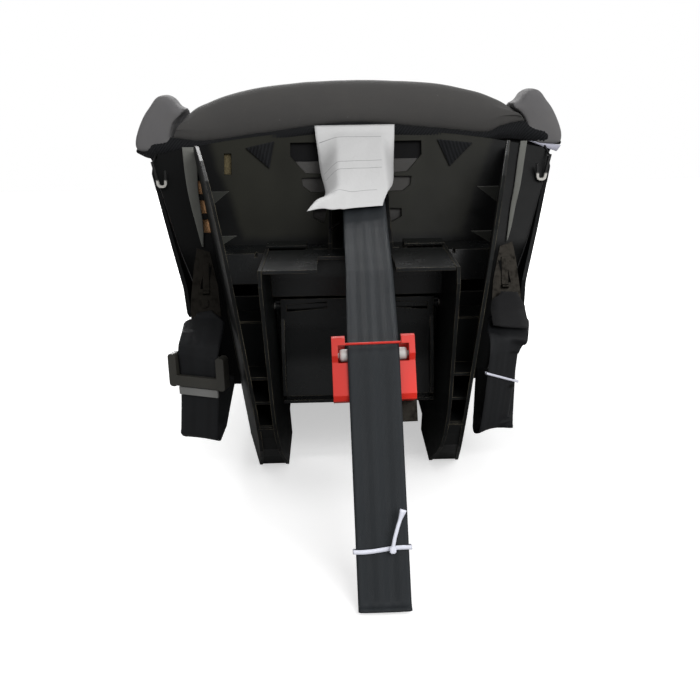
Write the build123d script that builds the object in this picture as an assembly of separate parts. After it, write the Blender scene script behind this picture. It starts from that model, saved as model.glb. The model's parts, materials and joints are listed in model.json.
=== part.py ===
from build123d import *
import math
import os

# Convertible car seat lying on its back. X runs across the seat, +Y from the base to the headrest,
# +Z from the back of the seat to its front lip. Millimetres. Z = 0 is the floor, Y = 0 the base bottom.

SEAT_HEIGHT = 640
ORIGIN_Y = 244.3  # middle of the overall length, from the end of the tail to the headrest
WALL = 3
PLATE = 4
GAP = 0.3
WEBBING = 38
WEB_THICK = 1.4
HARNESS_WEB = 25
REACH = 1200

# side walls of the two base rails: tilted planes
OUTER_AT = (90, 0, 100)
OUTER_NORMAL = (1, -0.20, -0.13)
INNER_AT = (70, 0, 0)
INNER_NORMAL = (1, 0, -0.05)
RAIL_Z_TOP = 212
RAIL_FOOT_Y = 93
BACK_RAIL_START = 170
BACK_PANEL_Z = 58
TUNNEL_Z = 52

# seat bucket; pockets, windows and tabs are outlines in X and Z on one side of the pan
PAN_POCKETS = [[(30.5, 297), (66, 297), (66, 284), (51, 268), (30.5, 267)],
               [(30.5, 264), (55, 263.5), (54, 256), (46, 250), (30.5, 249.5)],
               [(30.5, 234), (44, 233.5), (44, 226), (34, 221)]]
PAN_WINDOWS = [(146, 214), (150, 232), (154, 250)]
WINDOW_HALF = 5.5
TUCK_X = 164
FOAM_PATCH = (-128, -120.5)
PAN_LINE = [(162, 64), (172, 200), (221, 311)]
TROUGH_LINE = [(136, 56), (146, 100), (164, 166), (199, 270), (212, 345)]
TROUGH_RADIUS = 30
WING_SIDE = [(152, 58), (152, 84), (150, 141), (122, 143), (119, 148), (140, 168), (168, 214), (206, 270),
             (228, 281), (300, 281), (334, 262), (392, 212), (470, 198), (560, 204), (634, 206), (640, 196),
             (640, 58)]
LIP_HALF = 181
LIP_INNER_RADIUS = 941
LIP_INNER_TOP = 308.6
LIP_OUTER_RADIUS = 966
LIP_OUTER_TOP = 356
LIP_Y = (216, 262)

# clip loops of the belt panel
CLIP_X = (45, 82)

# recline foot
FOOT_HINGE = (94, 160)
FOOT_LENGTH = 88
FOOT_HALF = 70
FOOT_PIN_RADIUS = 3

# harness adjuster, placed by its bar
BAR_AT = (7, -70.25, 164.95)
TAIL_DIR = (-0.41, -0.912)
ADJUSTER_ROLL = 1.0
BAR_RADIUS = 4.6
BAR_HALF = 25
RIB_X = 26
RIB_MID = 4.5
STRAP_X = 8
TAG_X = 3.5
GUIDE_ROD = (194.3, 289.6)


def yz(points, x0, x1):
    """Prism between two X planes from an outline in Y and Z."""
    outline = Polyline(*[(0, y, z) for y, z in points], close=True)
    return Pos(x0, 0, 0) * extrude(make_face(outline), amount=x1 - x0, dir=(1, 0, 0))


def xz(points, y0, y1):
    """Prism between two Y planes from an outline in X and Z."""
    outline = Polyline(*[(x, 0, z) for x, z in points], close=True)
    return Pos(0, y0, 0) * extrude(make_face(outline), amount=y1 - y0, dir=(0, 1, 0))


def box(x0, x1, y0, y1, z0, z1):
    """Box between pairs of planes."""
    centre = Pos((x0 + x1) / 2, (y0 + y1) / 2, (z0 + z1) / 2)
    return centre * Box(abs(x1 - x0), abs(y1 - y0), abs(z1 - z0))


def band(points, width, thickness, radius, across=(1, 0, 0)):
    """Flat band of constant thickness along a rounded polyline, `width` wide along `across`."""
    if len(points) > 2:
        path = FilletPolyline(*points, radius=radius)
    else:
        path = Polyline(*points)
    start = Plane(origin=path @ 0, x_dir=across, z_dir=path % 0)
    return sweep(start * Rectangle(width, thickness), path=path)


def at_x(points, x):
    """Outline points in Y and Z placed at one X."""
    return [(x, y, z) for y, z in points]


def beside(origin, normal, near, far):
    """Slab parallel to a plane, between two distances along its normal."""
    plane = Plane(origin=origin, z_dir=normal)
    return plane * Pos(0, 0, (near + far) / 2) * Box(REACH, REACH, far - near)


def other_side(shape):
    """Copy mirrored across the middle of the seat."""
    return mirror(shape, about=Plane.YZ)


def both(shape):
    """The shape with its mirror image."""
    return Compound(children=[shape, other_side(shape)])


def within_outer(gap):
    """Space between the two outer rail walls, a gap inside them."""
    side = beside(OUTER_AT, OUTER_NORMAL, -REACH / 2, -WALL / 2 - gap)
    return side & other_side(side)


def within_inner(gap):
    """Space between the two inner rail walls, a gap inside them."""
    side = beside(INNER_AT, INNER_NORMAL, -REACH / 2, -WALL / 2 - gap)
    return side & other_side(side)


def behind_lip(gap):
    """Everything under the arch of the front lip."""
    centre_z = LIP_INNER_TOP - LIP_INNER_RADIUS
    drum = Rot(90, 0, 0) * Cylinder(LIP_INNER_RADIUS - gap, 2 * REACH)
    return Pos(0, 0, centre_z) * drum


def trough(inner, outer):
    """Bucket wall between two distances from its middle surface."""
    path = FilletPolyline(*[(x, 0, z) for x, z in TROUGH_LINE], radius=TROUGH_RADIUS)
    start = Plane(origin=path @ 0, x_dir=(0, 1, 0), z_dir=path % 0)
    middle = (inner + outer) / 2
    profile = start * Pos(0, -middle) * Rectangle(2 * REACH, outer - inner)
    return sweep(profile, path=path)


def trough_inside(gap):
    """Space inside the bucket, a gap away from its wall."""
    side = [(x - PLATE / 2 - gap - 1, z) for x, z in TROUGH_LINE]
    outline = side + [(212 - 4, 420), (-208, 420)] + [(-x, z) for x, z in reversed(side)]
    return xz(outline, -REACH / 2, REACH)


# ---------------------------------------------------------------- base

def rail():
    """One base rail: outer wall with belt window, inner wall, cross ribs and closed leg end."""
    sled = [(206.8, 290), (198, 294.5), (170, 299), (130, 301), (94, 292), (62, 278), (36, 261),
            (16, 240), (4, 218), (0, 200), (0, 100), (4, 80), (14, 61), (30, 43), (50, 28), (RAIL_FOOT_Y, 0)]
    rear = [(BACK_RAIL_START, 0), (BACK_RAIL_START, 55.5), (157, 62), (166, 200)]
    outer_wall = yz(sled + rear, 40, 260) & beside(OUTER_AT, OUTER_NORMAL, -WALL / 2, WALL / 2)
    inner_front = [(8, RAIL_Z_TOP), (0, 200), (0, 100), (4, 80), (14, 61), (30, 43), (50, 28),
                   (RAIL_FOOT_Y, 0)]
    inner_rear = [(BACK_RAIL_START, 0), (BACK_RAIL_START, 55.5), (157, 62), (150, 82), (124, 88),
                  (102, 150), (102, 172), (95.2, 178), (101.5, RAIL_Z_TOP)]
    inner_wall = yz(inner_front + inner_rear, 40, 260)
    inner_wall = inner_wall & beside(INNER_AT, INNER_NORMAL, -WALL / 2, WALL / 2)
    between = beside(OUTER_AT, OUTER_NORMAL, -REACH / 2, 0) & beside(INNER_AT, INNER_NORMAL, 0, REACH / 2)
    ribs = [box(40, 260, 9, 150, z, z + 2.5) for z in (118, 96, 74)]
    ribs += [box(40, 260, 38, 41, 112, 160), box(40, 260, 60, 63, 165, 178)]
    ribs += [box(40, 260, 41, 120, 158, 160.5), box(40, 260, 110, 113, 60, 118)]
    leg_end = yz([(7, 74), (16, 62), (32, 44), (52, 29), (95, 0), (101, 0), (55, 32), (35, 47), (20, 64),
                  (11, 75)], 40, 260)
    heel = yz([(95, 0), (BACK_RAIL_START, 0), (BACK_RAIL_START, 3), (100, 3)], 40, 260)
    body = outer_wall + inner_wall
    for part in ribs + [leg_end, heel]:
        body = body + (part & between)
    return body - box(40, 260, 126, 147, 86, 142)


def belt_panel():
    """Shelf and front panel between the rails, with two raised clip loops and four notches."""
    shelf = yz([(104.6, 203.6), (165.2, 200), (165.6, 203), (107, 207), (105, 206.5)], -REACH / 4, REACH / 4)
    front = yz([(104, 207), (107, 207), (99.6, 180), (96.6, 180)], -REACH / 4, REACH / 4)
    panel = (shelf + front) & within_outer(GAP)
    panel = panel + yz([(104, 203), (105.5, 203), (106.4, 210), (104.8, 210)], -38.5, 40)
    for x, bottom in ((-41, 197), (40, 197), (-92.5, 203.5), (89, 203.5)):
        panel = panel - box(x, x + 2.5, 90, 112, bottom, 220)
    for side in (-1, 1):
        deck = box(side * CLIP_X[0], side * CLIP_X[1], 106, 131, 211, 213)
        back = box(side * CLIP_X[0], side * CLIP_X[1], 129, 131, 204.3, 212)
        bead = box(side * CLIP_X[0], side * CLIP_X[1], 104.4, 106.6, 205.5, 208.8)
        panel = panel + deck + back + bead
        for x in (CLIP_X[0], CLIP_X[1] - 2):
            panel = panel + box(side * x, side * (x + 2), 107.5, 130, 204.3, 212)
    return panel - box(RIB_MID - 31.5, RIB_MID + 31.5, 120, 170, 190, 220)


def well():
    """Well between the inner walls: notched top plate with a curved apron, and stepped back panel."""
    top = box(-REACH / 4, REACH / 4, 8, 91, RAIL_Z_TOP - WALL, RAIL_Z_TOP)
    top = top - box(-34, 30, 0, 60, 200, 220)
    top = top + band(at_x([(90, 210), (85.5, 190), (84, 171)], 0), REACH / 4, 2, 30)
    back = band(at_x([(104, 177), (110, 150), (128, 54)], 0), REACH / 4, WALL, 60)
    step = box(-70, 70, 101, 107, 158, 161)
    return Compound(children=[top & within_inner(GAP), (back + step) & within_inner(GAP)])


def foot():
    """Folded recline foot: curved plate with two slots, end gussets, webs and the hinge barrel."""
    y0, z0 = FOOT_HINGE
    end = z0 - FOOT_LENGTH
    profile = [(y0 - 7, z0 + 8), (y0 - 6, z0 - 18), (y0 - 1, z0 - 52), (y0 - 8, end)]
    plate = band(at_x(profile, 0), 2 * FOOT_HALF, WALL, 40)
    barrel = Pos(0, y0, z0) * Rot(0, 90, 0) * Cylinder(5, 2 * FOOT_HALF + 10)
    body = plate + barrel
    for side in (-1, 1):
        slot = Pos(side * 46, y0 - 7, z0 + 0.5) * Rot(0, side * 4, 0) * Box(37, 5, 6.4)
        body = body - slot
        gusset = yz([(y0 - 7, z0 - 8), (y0 - 16, z0 - 40), (y0 - 20, end + 6), (y0 - 8, end)],
                    side * (FOOT_HALF - WALL), side * FOOT_HALF)
        body = body + gusset
        for x in (20, FOOT_HALF - WALL):
            body = body + box(side * x, side * (x + WALL), y0 - 7.5, y0 - 4, z0 - 3, z0 + 4)
    lip = box(-FOOT_HALF, FOOT_HALF, y0 - 20, y0 - 6.6, end - 1, end + 2)
    bore = Pos(0, y0, z0) * Rot(0, 90, 0) * Cylinder(FOOT_PIN_RADIUS + 0.1, 400)
    return body + lip - bore


def foot_pin():
    """Steel hinge pin of the recline foot, ending at the inner walls."""
    y0, z0 = FOOT_HINGE
    return Pos(0, y0, z0) * Rot(0, 90, 0) * Cylinder(FOOT_PIN_RADIUS, 2 * 76)


# ---------------------------------------------------------------- bucket

def seat_pan():
    """Seat pan with two crotch slots, pockets beside the ribs and foam windows down its left side."""
    pan = band(at_x(PAN_LINE, 0), 430, PLATE, 40)
    pan = pan & trough_inside(GAP) & behind_lip(GAP)
    for z in (150, 182):
        pan = pan - box(-22, 22, 150, 190, z - 4, z + 4)
    for x, z in PAN_WINDOWS:
        pan = pan - box(-x - WINDOW_HALF, -x + WINDOW_HALF, 150, 240, z, z + 13)
    for outline in PAN_POCKETS:
        for side in (-1, 1):
            pan = pan - xz([(RIB_MID + side * x, z) for x, z in outline], 150, 240)
    hole = cover_elastic(2.2, 40)
    return pan - box(*FOAM_PATCH, 150, 240, 268, 288) - hole - other_side(hole)


def pan_frame(z):
    """Placement on the underside of the pan: X across, Y along the slope, Z away from the pan."""
    (y0, z0), (y1, z1) = PAN_LINE[1:]
    slope = (y1 - y0) / (z1 - z0)
    y = y0 + (z - z0) * slope - PLATE / 2 * math.hypot(1, slope)
    return Plane(origin=(0, y, z), x_dir=(1, 0, 0), z_dir=(0, -1, slope)).location


def pan_ribs():
    """Two long ribs under the pan with a guide rod and cross bracing between them."""
    side_view = [(208, 296), (197, 296.5), (120, 226), (93.5, 217), (93.5, 182), (95, 181),
                 (102.6, 214), (107.5, 214), (165, 206), (171.6, 205), (213.2, 299)]
    rod_y, rod_z = GUIDE_ROD
    body = yz(side_view, RIB_X, RIB_X + WALL) + yz(side_view, -RIB_X - WALL, -RIB_X)
    body = body + Pos(0, rod_y, rod_z) * Rot(0, 90, 0) * Cylinder(3.4, 2 * RIB_X + 2)
    for z in (229, 258):
        for angle in (-30, 30):
            body = body + pan_frame(z) * Rot(0, 0, angle) * Pos(0, 0, 4.6) * Box(63, 2, 7)
    return Pos(RIB_MID, 0, 0) * body


def pan_fins():
    """Triangular gussets on the inner faces of the rails, beside the pan."""
    fins = []
    for tip, top, drop in ((118, 258, 21), (113, 215.5, 19)):
        fin = xz([(tip, top), (145, top), (145, top - drop)], 149, 151.5) & within_outer(GAP)
        fins += [fin, other_side(fin)]
    return Compound(children=fins)


def wing():
    """One side wing of the bucket."""
    side = yz(WING_SIDE, 100, 260)
    return trough(-PLATE / 2, PLATE / 2) & side


def back_panel():
    """Flat back panel with three rows of harness slots."""
    panel = box(-133.4, 133.4, 171, SEAT_HEIGHT, BACK_PANEL_Z - 2, BACK_PANEL_Z + 2)
    for y in (420, 470, 520):
        for side in (-1, 1):
            panel = panel - box(side * 18, side * 50, y - 5, y + 5, 40, 80)
    return panel


def back_rail():
    """One rear rail behind the back panel: an open channel standing on the floor."""
    start = BACK_RAIL_START + GAP
    end = 606
    sides = [box(74, 77, start, end, 0, 55.7), box(110, 113, start, end, 0, 55.7)]
    sides += [box(74, 113, start, end, 0, 3)]
    body = sides[0] + sides[1] + sides[2]
    for y in range(200, 620, 58):
        body = body + box(74, 113, y, y + 3, 0, 55.7)
    return body + box(74, 113, end - 3, end, 0, 55.7)


def foam_liner():
    """Tan foam strip on the pan behind the windows, and a patch behind the small window."""
    strip = band(at_x([(181, 204), (206.6, 262)], -150), 24, 8, 0) & trough_inside(2 * GAP)
    patch = box(FOAM_PATCH[0] - 2, FOAM_PATCH[1] + 2, -12, 12, -PLATE - 1.6, -PLATE - 0.4)
    return Compound(children=[strip, pan_frame(278) * patch])


# ---------------------------------------------------------------- cover

def lip():
    """Padded front lip: bowed roll over the front edge of the pan."""
    outer = Pos(0, 0, LIP_OUTER_TOP - LIP_OUTER_RADIUS) * Rot(90, 0, 0) * Cylinder(LIP_OUTER_RADIUS, 900)
    block = box(-LIP_HALF, LIP_HALF, LIP_Y[0], LIP_Y[1], 250, 370)
    roll = (block & outer) - behind_lip(0)
    long_edges = [e for e in roll.edges() if e.bounding_box().size.X > LIP_HALF and e.center().Z > 320]
    return fillet(long_edges, 13) + lip_tab() + other_side(lip_tab())


def lip_tab():
    """Triangular fabric tab of the lip, lying on the underside of the pan."""
    outline = [(78, 24), (83, 5.5), (90, -18.5), (113, 5.5), (120, 24)]
    plate = extrude(make_face(Polyline(*outline, close=True)), amount=2)
    return pan_frame(290) * Pos(0, 0, 0.4) * plate


def ear():
    """Padded front end of one side bolster."""
    outline = [(LIP_HALF + GAP, 286), (LIP_HALF + GAP, 337), (192, 341), (203, 340), (213, 328),
               (221, 300), (222, 283), (202, 284)]
    body = xz(outline, LIP_Y[0], 298)
    top = yz([(LIP_Y[0], 281.5), (298, 281.5), (298, 300), (276, 330), (262, 342), (LIP_Y[0], 342)], 100, 300)
    return body & top


def edge_binding():
    """Bound edge of the cover along the top of one wing."""
    edge = [(301, 281.5), (335, 262.5), (392.5, 212.5), (470, 198.5), (560, 204.5), (636, 206.5)]
    raised = [(636, 216), (560, 214), (471, 208), (397, 222), (341, 271), (305, 291), (299, 291),
              (299, 281.5)]
    return trough(-8, 6) & yz(edge + raised, 100, 280)


def bolster(y0, y1, side_view):
    """Padded side bolster inside the bucket."""
    inside = [(127, 63), (132, 63), (141.4, 101), (159.3, 167), (193.4, 268), (197, 281), (186, 281),
              (145, 196), (127, 112)]
    return xz(inside, y0, y1) & yz(side_view, 100, 280)


def torso_bolster():
    """Bolster from the lip to the shoulders."""
    side_view = [(234, 63), (234, 280), (300, 280), (333, 260), (391, 209), (428, 203), (428, 63)]
    return bolster(234, 428, side_view)


def head_bolster():
    """Bolster beside the head."""
    return bolster(431, 630, [(431, 63), (431, 200), (470, 196), (560, 202), (630, 204), (630, 63)])


def back_cushion():
    """Padded back of the cover with harness slots."""
    pad = box(-124, 124, 236, 630, BACK_PANEL_Z + 6, BACK_PANEL_Z + 28)
    pad = fillet(pad.edges().group_by(Axis.Z)[-1], 9)
    for side in (-1, 1):
        pad = pad - box(side * 18, side * 50, 464, 476, 50, 100)
    return pad


def seat_cushion():
    """Padded seat of the cover with one crotch slot."""
    line = [(183, 96), (191, 200), (228.4, 294)]
    pad = band(at_x(line, 0), 248, 18, 60)
    pad = fillet(pad.edges().filter_by(Axis.X).group_by(Axis.Y)[-1], 5)
    return pad - box(-22, 22, 160, 220, 172, 192)


def tuck():
    """Strip of pale lining tucked under the side of the pan."""
    return band(at_x([(167.4, 203), (203, 283.5)], TUCK_X), 11, 1.2, 0) & trough_inside(2 * GAP)


def tag():
    """Sewn sheet hanging from the lip."""
    return band(at_x([(215.4, 313), (213.4, 307.5), (80, 244.8)], TAG_X), 78, 0.6, 1.5)


# ---------------------------------------------------------------- harness

def adjuster_frame():
    """Placement of the adjuster: X across, Y up along the tail, Z out of its front face."""
    up = (0, -TAIL_DIR[0], -TAIL_DIR[1])
    front = Vector(0, TAIL_DIR[1], -TAIL_DIR[0])
    level = Plane(origin=BAR_AT, x_dir=(1, 0, 0), z_dir=front)
    return level.location * Rot(0, 0, ADJUSTER_ROLL)


def adjuster_strap():
    """Webbing from the splitter along the pan, over the guide rod and down to the well."""
    line = [(336, 50), (151, 50), (157, 206), (204, 299), (65, 235), (5.5, 210.4)]
    return band(at_x(line, STRAP_X), WEBBING, WEB_THICK, 4.5)


def tail():
    """Webbing from the well edge over the adjuster bar down to the floor, folded at its end."""
    line = [(0, 79.6 * 0.768 + 3.94, 4.76 - 79.6 * 0.636), (0, 6.2 * 0.362, 6.2), (0, -182, 6.2)]
    front = band(line, WEBBING, WEB_THICK, 6.2)
    fold = band([(0, -94, 3.9), (0, -179, 3.9)], WEBBING, WEB_THICK, 0)
    placed = [adjuster_frame() * front, adjuster_frame() * fold]
    floor_cut = box(-REACH, REACH, -REACH, REACH, 0, REACH)
    pieces = []
    for shape in placed:
        pieces += (shape & floor_cut).solids()
    return Compound(children=pieces)


def adjuster_housing():
    """Red adjuster housing: box open at the top, two cheeks with pin slots and a thin front bar."""
    side = [(-34, -20), (-34, 2), (-30, 5), (-5.6, 5), (-1, 8.6), (12, 8.6), (14, 4), (14, -6), (8, -20)]
    outline = Polyline(*[(0, y, z) for y, z in side], close=True)
    body = Pos(-30.5, 0, 0) * extrude(make_face(outline), amount=61, dir=(1, 0, 0))
    cavity = box(-27.5, 27.5, -31, 20, -17, 2)
    body = body - cavity
    body = body - box(-20.6, 20.6, -5.6, 40, -40, 20)
    body = body - box(-26, 26, -6, 6.6, -17, 12)
    rear = box(-20.6, 20.6, -5.6, 2, -20, -17)
    bar = Pos(0, 7.6, 6.6) * Rot(0, 90, 0) * Cylinder(0.9, 42)
    body = body + rear + bar
    body = body - pin_slot()
    return body


def pin_slot():
    """Slot in both cheeks for the pins of the locking bar, along its travel."""
    slot = Pos(0, 0, 0) * Box(57.6, 4.6, 4.6)
    travel = slot + Pos(0, 4.2 * 0.768, -4.2 * 0.636) * Box(57.6, 4.6, 4.6)
    return travel + Pos(0, 2.1 * 0.768, -2.1 * 0.636) * Box(57.6, 4.6, 4.6)


def adjuster_bar():
    """Grey locking bar with two end pins."""
    rod = Rot(0, 90, 0) * Cylinder(BAR_RADIUS, 2 * BAR_HALF)
    rod = fillet(rod.edges().filter_by(GeomType.CIRCLE), 2)
    pins = Rot(0, 90, 0) * Cylinder(1.8, 57)
    return rod + pins


def adjuster_plate():
    """Metal plate behind the housing."""
    return box(2, 32.5, -50, 5, -22.6, -20.4)


def tail_tie():
    """Thin tie round the folded tail with its end standing up."""
    ring = box(-20.6, 20.6, -138, -135, 1.6, 8.4) - box(-19.6, 19.6, -140, -130, 2.6, 7.4)
    cord = Pos(7, -136.5, 9.4) * Rot(0, 0, -18) * Rot(-90, 0, 0) * Pos(0, 0, -2) * Cylinder(
        1, 30, align=(Align.CENTER, Align.CENTER, Align.MIN))
    return ring + cord


def shoulder_strap():
    """One shoulder strap: splitter, slot in the back, down to the tongue."""
    line = [(352, 50), (470, 50), (470, 90), (320, 90), (293, 110.5)]
    return band(at_x(line, 34), HARNESS_WEB, WEB_THICK, 4)


def hip_strap():
    """One hip strap, from the tongue back to the corner of the bucket."""
    line = [(53, 280, 113), (70, 256, 103), (112, 240, 97)]
    return band(line, HARNESS_WEB, WEB_THICK, 12, across=(0.25, 0.6, -0.75))


def tongue():
    """Metal tongue of the buckle."""
    eye = box(18, 50, -2, 12, -1.2, 1.2) - box(21, 47, 3, 8, -3, 3)
    blade = box(4, 24, -3.6, 3, -1.2, 1.2) + box(4, 12, -30, -3.6, -1.2, 1.2)
    return buckle_frame() * Pos(0, 34, 0) * (eye + blade)


def buckle_frame():
    """Placement of the buckle: Y towards the head, Z out of its face."""
    return Pos(0, 248, 131) * Rot(-24, 0, 0)


def buckle():
    """Crotch buckle housing with the button well and two tongue slots."""
    body = box(-27, 27, -32, 30, -10, 10)
    body = fillet(body.edges().filter_by(Axis.Y), 5)
    body = fillet(body.edges().filter_by(Axis.Z), 5)
    body = body - box(-14.4, 14.4, -17.4, 5.4, 2, 20)
    for side in (-1, 1):
        body = body - box(side * 3, side * 14, -1, 40, -1.6, 1.6)
    return buckle_frame() * body


def buckle_button():
    """Red release button."""
    body = box(-14, 14, -17, 5, 6, 12)
    body = fillet(body.edges().group_by(Axis.Z)[-1], 1.5)
    return buckle_frame() * body


def crotch_strap():
    """Crotch strap from under the pan to the buckle."""
    end = buckle_frame() * Pos(0, -33.5, 0)
    tip = (end.position.Y, end.position.Z)
    line = [(169, 182), (208, 182), tip]
    return band(at_x(line, 0), HARNESS_WEB, WEB_THICK, 8)


def shoulder_pad():
    """Fabric pad round one shoulder strap."""
    tube = box(18, 50, 385, 455, 87.4, 101) - box(20.5, 47.5, 380, 460, 88.8, 91.6)
    return fillet(tube.edges().filter_by(Axis.Y).group_by(Axis.Z)[-1], 3)


def chest_clip():
    """Chest clip joining the shoulder straps."""
    body = box(-54, 54, 340, 372, 87.2, 97)
    body = fillet(body.edges().filter_by(Axis.Z), 8)
    for side in (-1, 1):
        body = body - box(side * 20.5, side * 47.5, 330, 380, 88.8, 91.4)
    return body - box(-10.3, 10.3, 347.7, 364.3, 92.5, 110)


def chest_button():
    """Press button of the chest clip."""
    return fillet(box(-10, 10, 348, 364, 95, 99).edges().group_by(Axis.Z)[-1], 1)


def splitter_plate():
    """Metal plate joining the shoulder straps to the adjuster strap behind the back."""
    plate = box(-52, 52, 336.5, 351.5, 48.8, 51.2)
    return plate - box(-14, 34, 341, 347, 40, 60)


# ---------------------------------------------------------------- lower anchors

ANCHOR_TOP = 126
ANCHOR_Y = 64
ANCHOR_LEFT = (145, 20, 0)  # distance from the middle, yaw and lean of the hanging loop
ANCHOR_RIGHT = (139, 10, -6)
ANCHOR_HOOK_X = 142
TRIGLIDE_Z = 93
ANCHOR_LINE = [(0, ANCHOR_TOP), (0, 90), (5, 44), (13, 37), (24, 48), (38, 94)]
ANCHOR_UPPER = [(100.5, 146.5), (64, 132.5), (64, 126.5)]


def anchor_frame(place):
    """Placement of a lower-anchor strap, seen on the left: X across, Y away from the front, Z up."""
    away, yaw, lean = place
    pivot = Pos(0, 0, ANCHOR_TOP)
    return Pos(-away, ANCHOR_Y, 0) * pivot * Rot(0, 0, -yaw) * Rot(0, lean, 0) * pivot.inverse()


def anchor_webbing(place):
    """Hanging loop of anchor webbing, sewn end to the rail, seen on the left."""
    loop = anchor_frame(place) * band(at_x(ANCHOR_LINE, 0), WEBBING, WEB_THICK, 5)
    upper = band(at_x(ANCHOR_UPPER, -place[0]), WEBBING, WEB_THICK, 5)
    return Compound(children=[upper, loop])


def anchor_plate():
    """Stowed anchor hook: tapered plate with a webbing slot and a mouth."""
    outline = [(-13, 0), (13, 0), (15, 14), (13, 40), (6, 72), (-6, 76), (-9, 60), (-13, 26)]
    plate = extrude(make_face(Polyline(*outline, close=True)), amount=3)
    plate = plate - Pos(0, 6, 0) * Box(18, 4, 20)
    plate = plate - Pos(2, 48, 0) * Rot(0, 0, -12) * Box(7, 22, 20)
    return anchor_hook_frame() * plate


def anchor_hook_frame():
    """Placement of the left hook: X across, Y up along it, Z out of its face."""
    return Pos(-ANCHOR_HOOK_X, 103.5, 136) * Rot(90 - 17, 0, 0)


def anchor_gate():
    """Sprung gate lying over the hook mouth."""
    leaf = box(-1, 5, 34, 62, 3.4, 4.6)
    eye = Pos(2, 34, 5.4) * Rot(0, 90, 0) * Cylinder(2, 6)
    return anchor_hook_frame() * (leaf + eye)


def anchor_rivet():
    """Rivet head on the hook."""
    return anchor_hook_frame() * (Pos(0, 24, 4) * Cylinder(4, 1.8))


def triglide():
    """Slide frame woven onto the left webbing: low bar in front, high bar behind."""
    side = box(20, 28, -5, 5, TRIGLIDE_Z, TRIGLIDE_Z + 31)
    side = fillet(side.edges().filter_by(Axis.Y), 3)
    low = box(-21, 21, -5, -1.3, TRIGLIDE_Z + 1, TRIGLIDE_Z + 11)
    high = box(-21, 21, 1.3, 5, TRIGLIDE_Z + 19, TRIGLIDE_Z + 27)
    return anchor_frame(ANCHOR_LEFT) * (side + other_side(side) + low + high)


def triglide_bar():
    """Pale bar under the slide frame."""
    return anchor_frame(ANCHOR_LEFT) * box(-19.5, 19.5, -3.4, -0.9, TRIGLIDE_Z - 7.5, TRIGLIDE_Z - 0.3)


def elastic_band():
    """Thin band round the right webbing."""
    ring = box(-20.4, 20.4, -1.8, 2.2, 94, 97) - box(-19.6, 19.6, -1.1, 1.5, 90, 100)
    return other_side(anchor_frame(ANCHOR_RIGHT) * ring)


def sleeve():
    """Fabric sleeve over the lower end of the right hook."""
    return band(at_x([(103.8, 159), (99, 150.5), (70, 138.4)], ANCHOR_RIGHT[0]), 36, 1.6, 3)


def cover_elastic(radius, length):
    """Straight run of the right cover elastic, through a hole in the pan."""
    ends = (Align.CENTER, Align.CENTER, Align.MIN)
    return Pos(196.6, 192.7, 281) * Rot(-70, 0, 0) * Cylinder(radius, length, align=ends)


def cover_hook():
    """Cover retainers: a J-hook in front of each pan edge and its elastic up to the cover."""
    line = [(197, 192.7, 283), (194, 192.7, 269), (192.5, 192.7, 258.5), (185.5, 192.7, 258.5),
            (184.5, 192.7, 274)]
    hook = band(line, 3.5, 2.4, 3, across=(0, 1, 0))
    return both(hook + cover_elastic(1, 24))


def screws():
    """Pan-head screws through the back panel into the rear rails."""
    heads = []
    for y in (215, 388, 562):
        for side in (-1, 1):
            heads.append(Pos(side * 93.5, y, BACK_PANEL_Z + 3.4) * Cylinder(5, 2.6))
    return Compound(children=heads)


def parts():
    """Every node of the seat with its shape."""
    left = other_side
    made = {
        "base_rail_right": rail(), "belt_panel": belt_panel(), "well": well(),
        "recline_foot": foot(), "foot_pin": foot_pin(), "seat_pan": seat_pan(),
        "pan_ribs": pan_ribs(), "pan_fins": pan_fins(), "side_wing_right": wing(),
        "back_panel": back_panel(),
        "back_rail_right": back_rail(), "foam_liners": foam_liner(), "cover_lip": lip(),
        "cover_ear_right": ear(), "cover_edge_right": edge_binding(),
        "torso_bolster_right": torso_bolster(), "head_bolster_right": head_bolster(),
        "back_cushion": back_cushion(), "seat_cushion": seat_cushion(), "cover_tucks": both(tuck()),
        "sewn_tag": tag(), "adjuster_strap": adjuster_strap(), "adjuster_tail": tail(),
        "adjuster_housing": adjuster_frame() * adjuster_housing(),
        "adjuster_bar": adjuster_frame() * adjuster_bar(),
        "adjuster_plate": adjuster_frame() * adjuster_plate(), "tail_tie": adjuster_frame() * tail_tie(),
        "shoulder_strap_right": shoulder_strap(), "hip_straps": both(hip_strap()),
        "shoulder_pad_right": shoulder_pad(), "tongue_right": tongue(), "buckle_housing": buckle(),
        "buckle_button": buckle_button(), "crotch_strap": crotch_strap(),
        "chest_clip": chest_clip(), "chest_button": chest_button(), "splitter_plate": splitter_plate(),
        "anchor_webbing_left": anchor_webbing(ANCHOR_LEFT),
        "anchor_webbing_right": left(anchor_webbing(ANCHOR_RIGHT)), "anchor_plate_left": anchor_plate(),
        "anchor_gate_left": anchor_gate(), "anchor_rivets": both(anchor_rivet()),
        "triglide_frame": triglide(), "triglide_bar": triglide_bar(), "elastic_band": elastic_band(),
        "hook_sleeve": sleeve(), "cover_hooks": cover_hook(), "screws": screws(),
    }
    for name in list(made):
        if name.endswith("_right") and name.replace("_right", "_left") not in made:
            made[name.replace("_right", "_left")] = left(made[name])
    for name in ("anchor_plate", "anchor_gate"):
        made[name + "_right"] = left(made[name + "_left"])
    return made


os.makedirs("parts", exist_ok=True)
for node, shape in parts().items():
    export_step(Pos(0, -ORIGIN_Y, 0) * shape, f"parts/{node}.step")
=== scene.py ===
"""Looks of a convertible child seat that lies on its back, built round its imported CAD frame."""

import json
import logging
import math
from collections.abc import Callable, Sequence
from dataclasses import dataclass, field
from enum import Enum

import bmesh
import bpy
from mathutils import Matrix, Vector, noise

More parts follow.
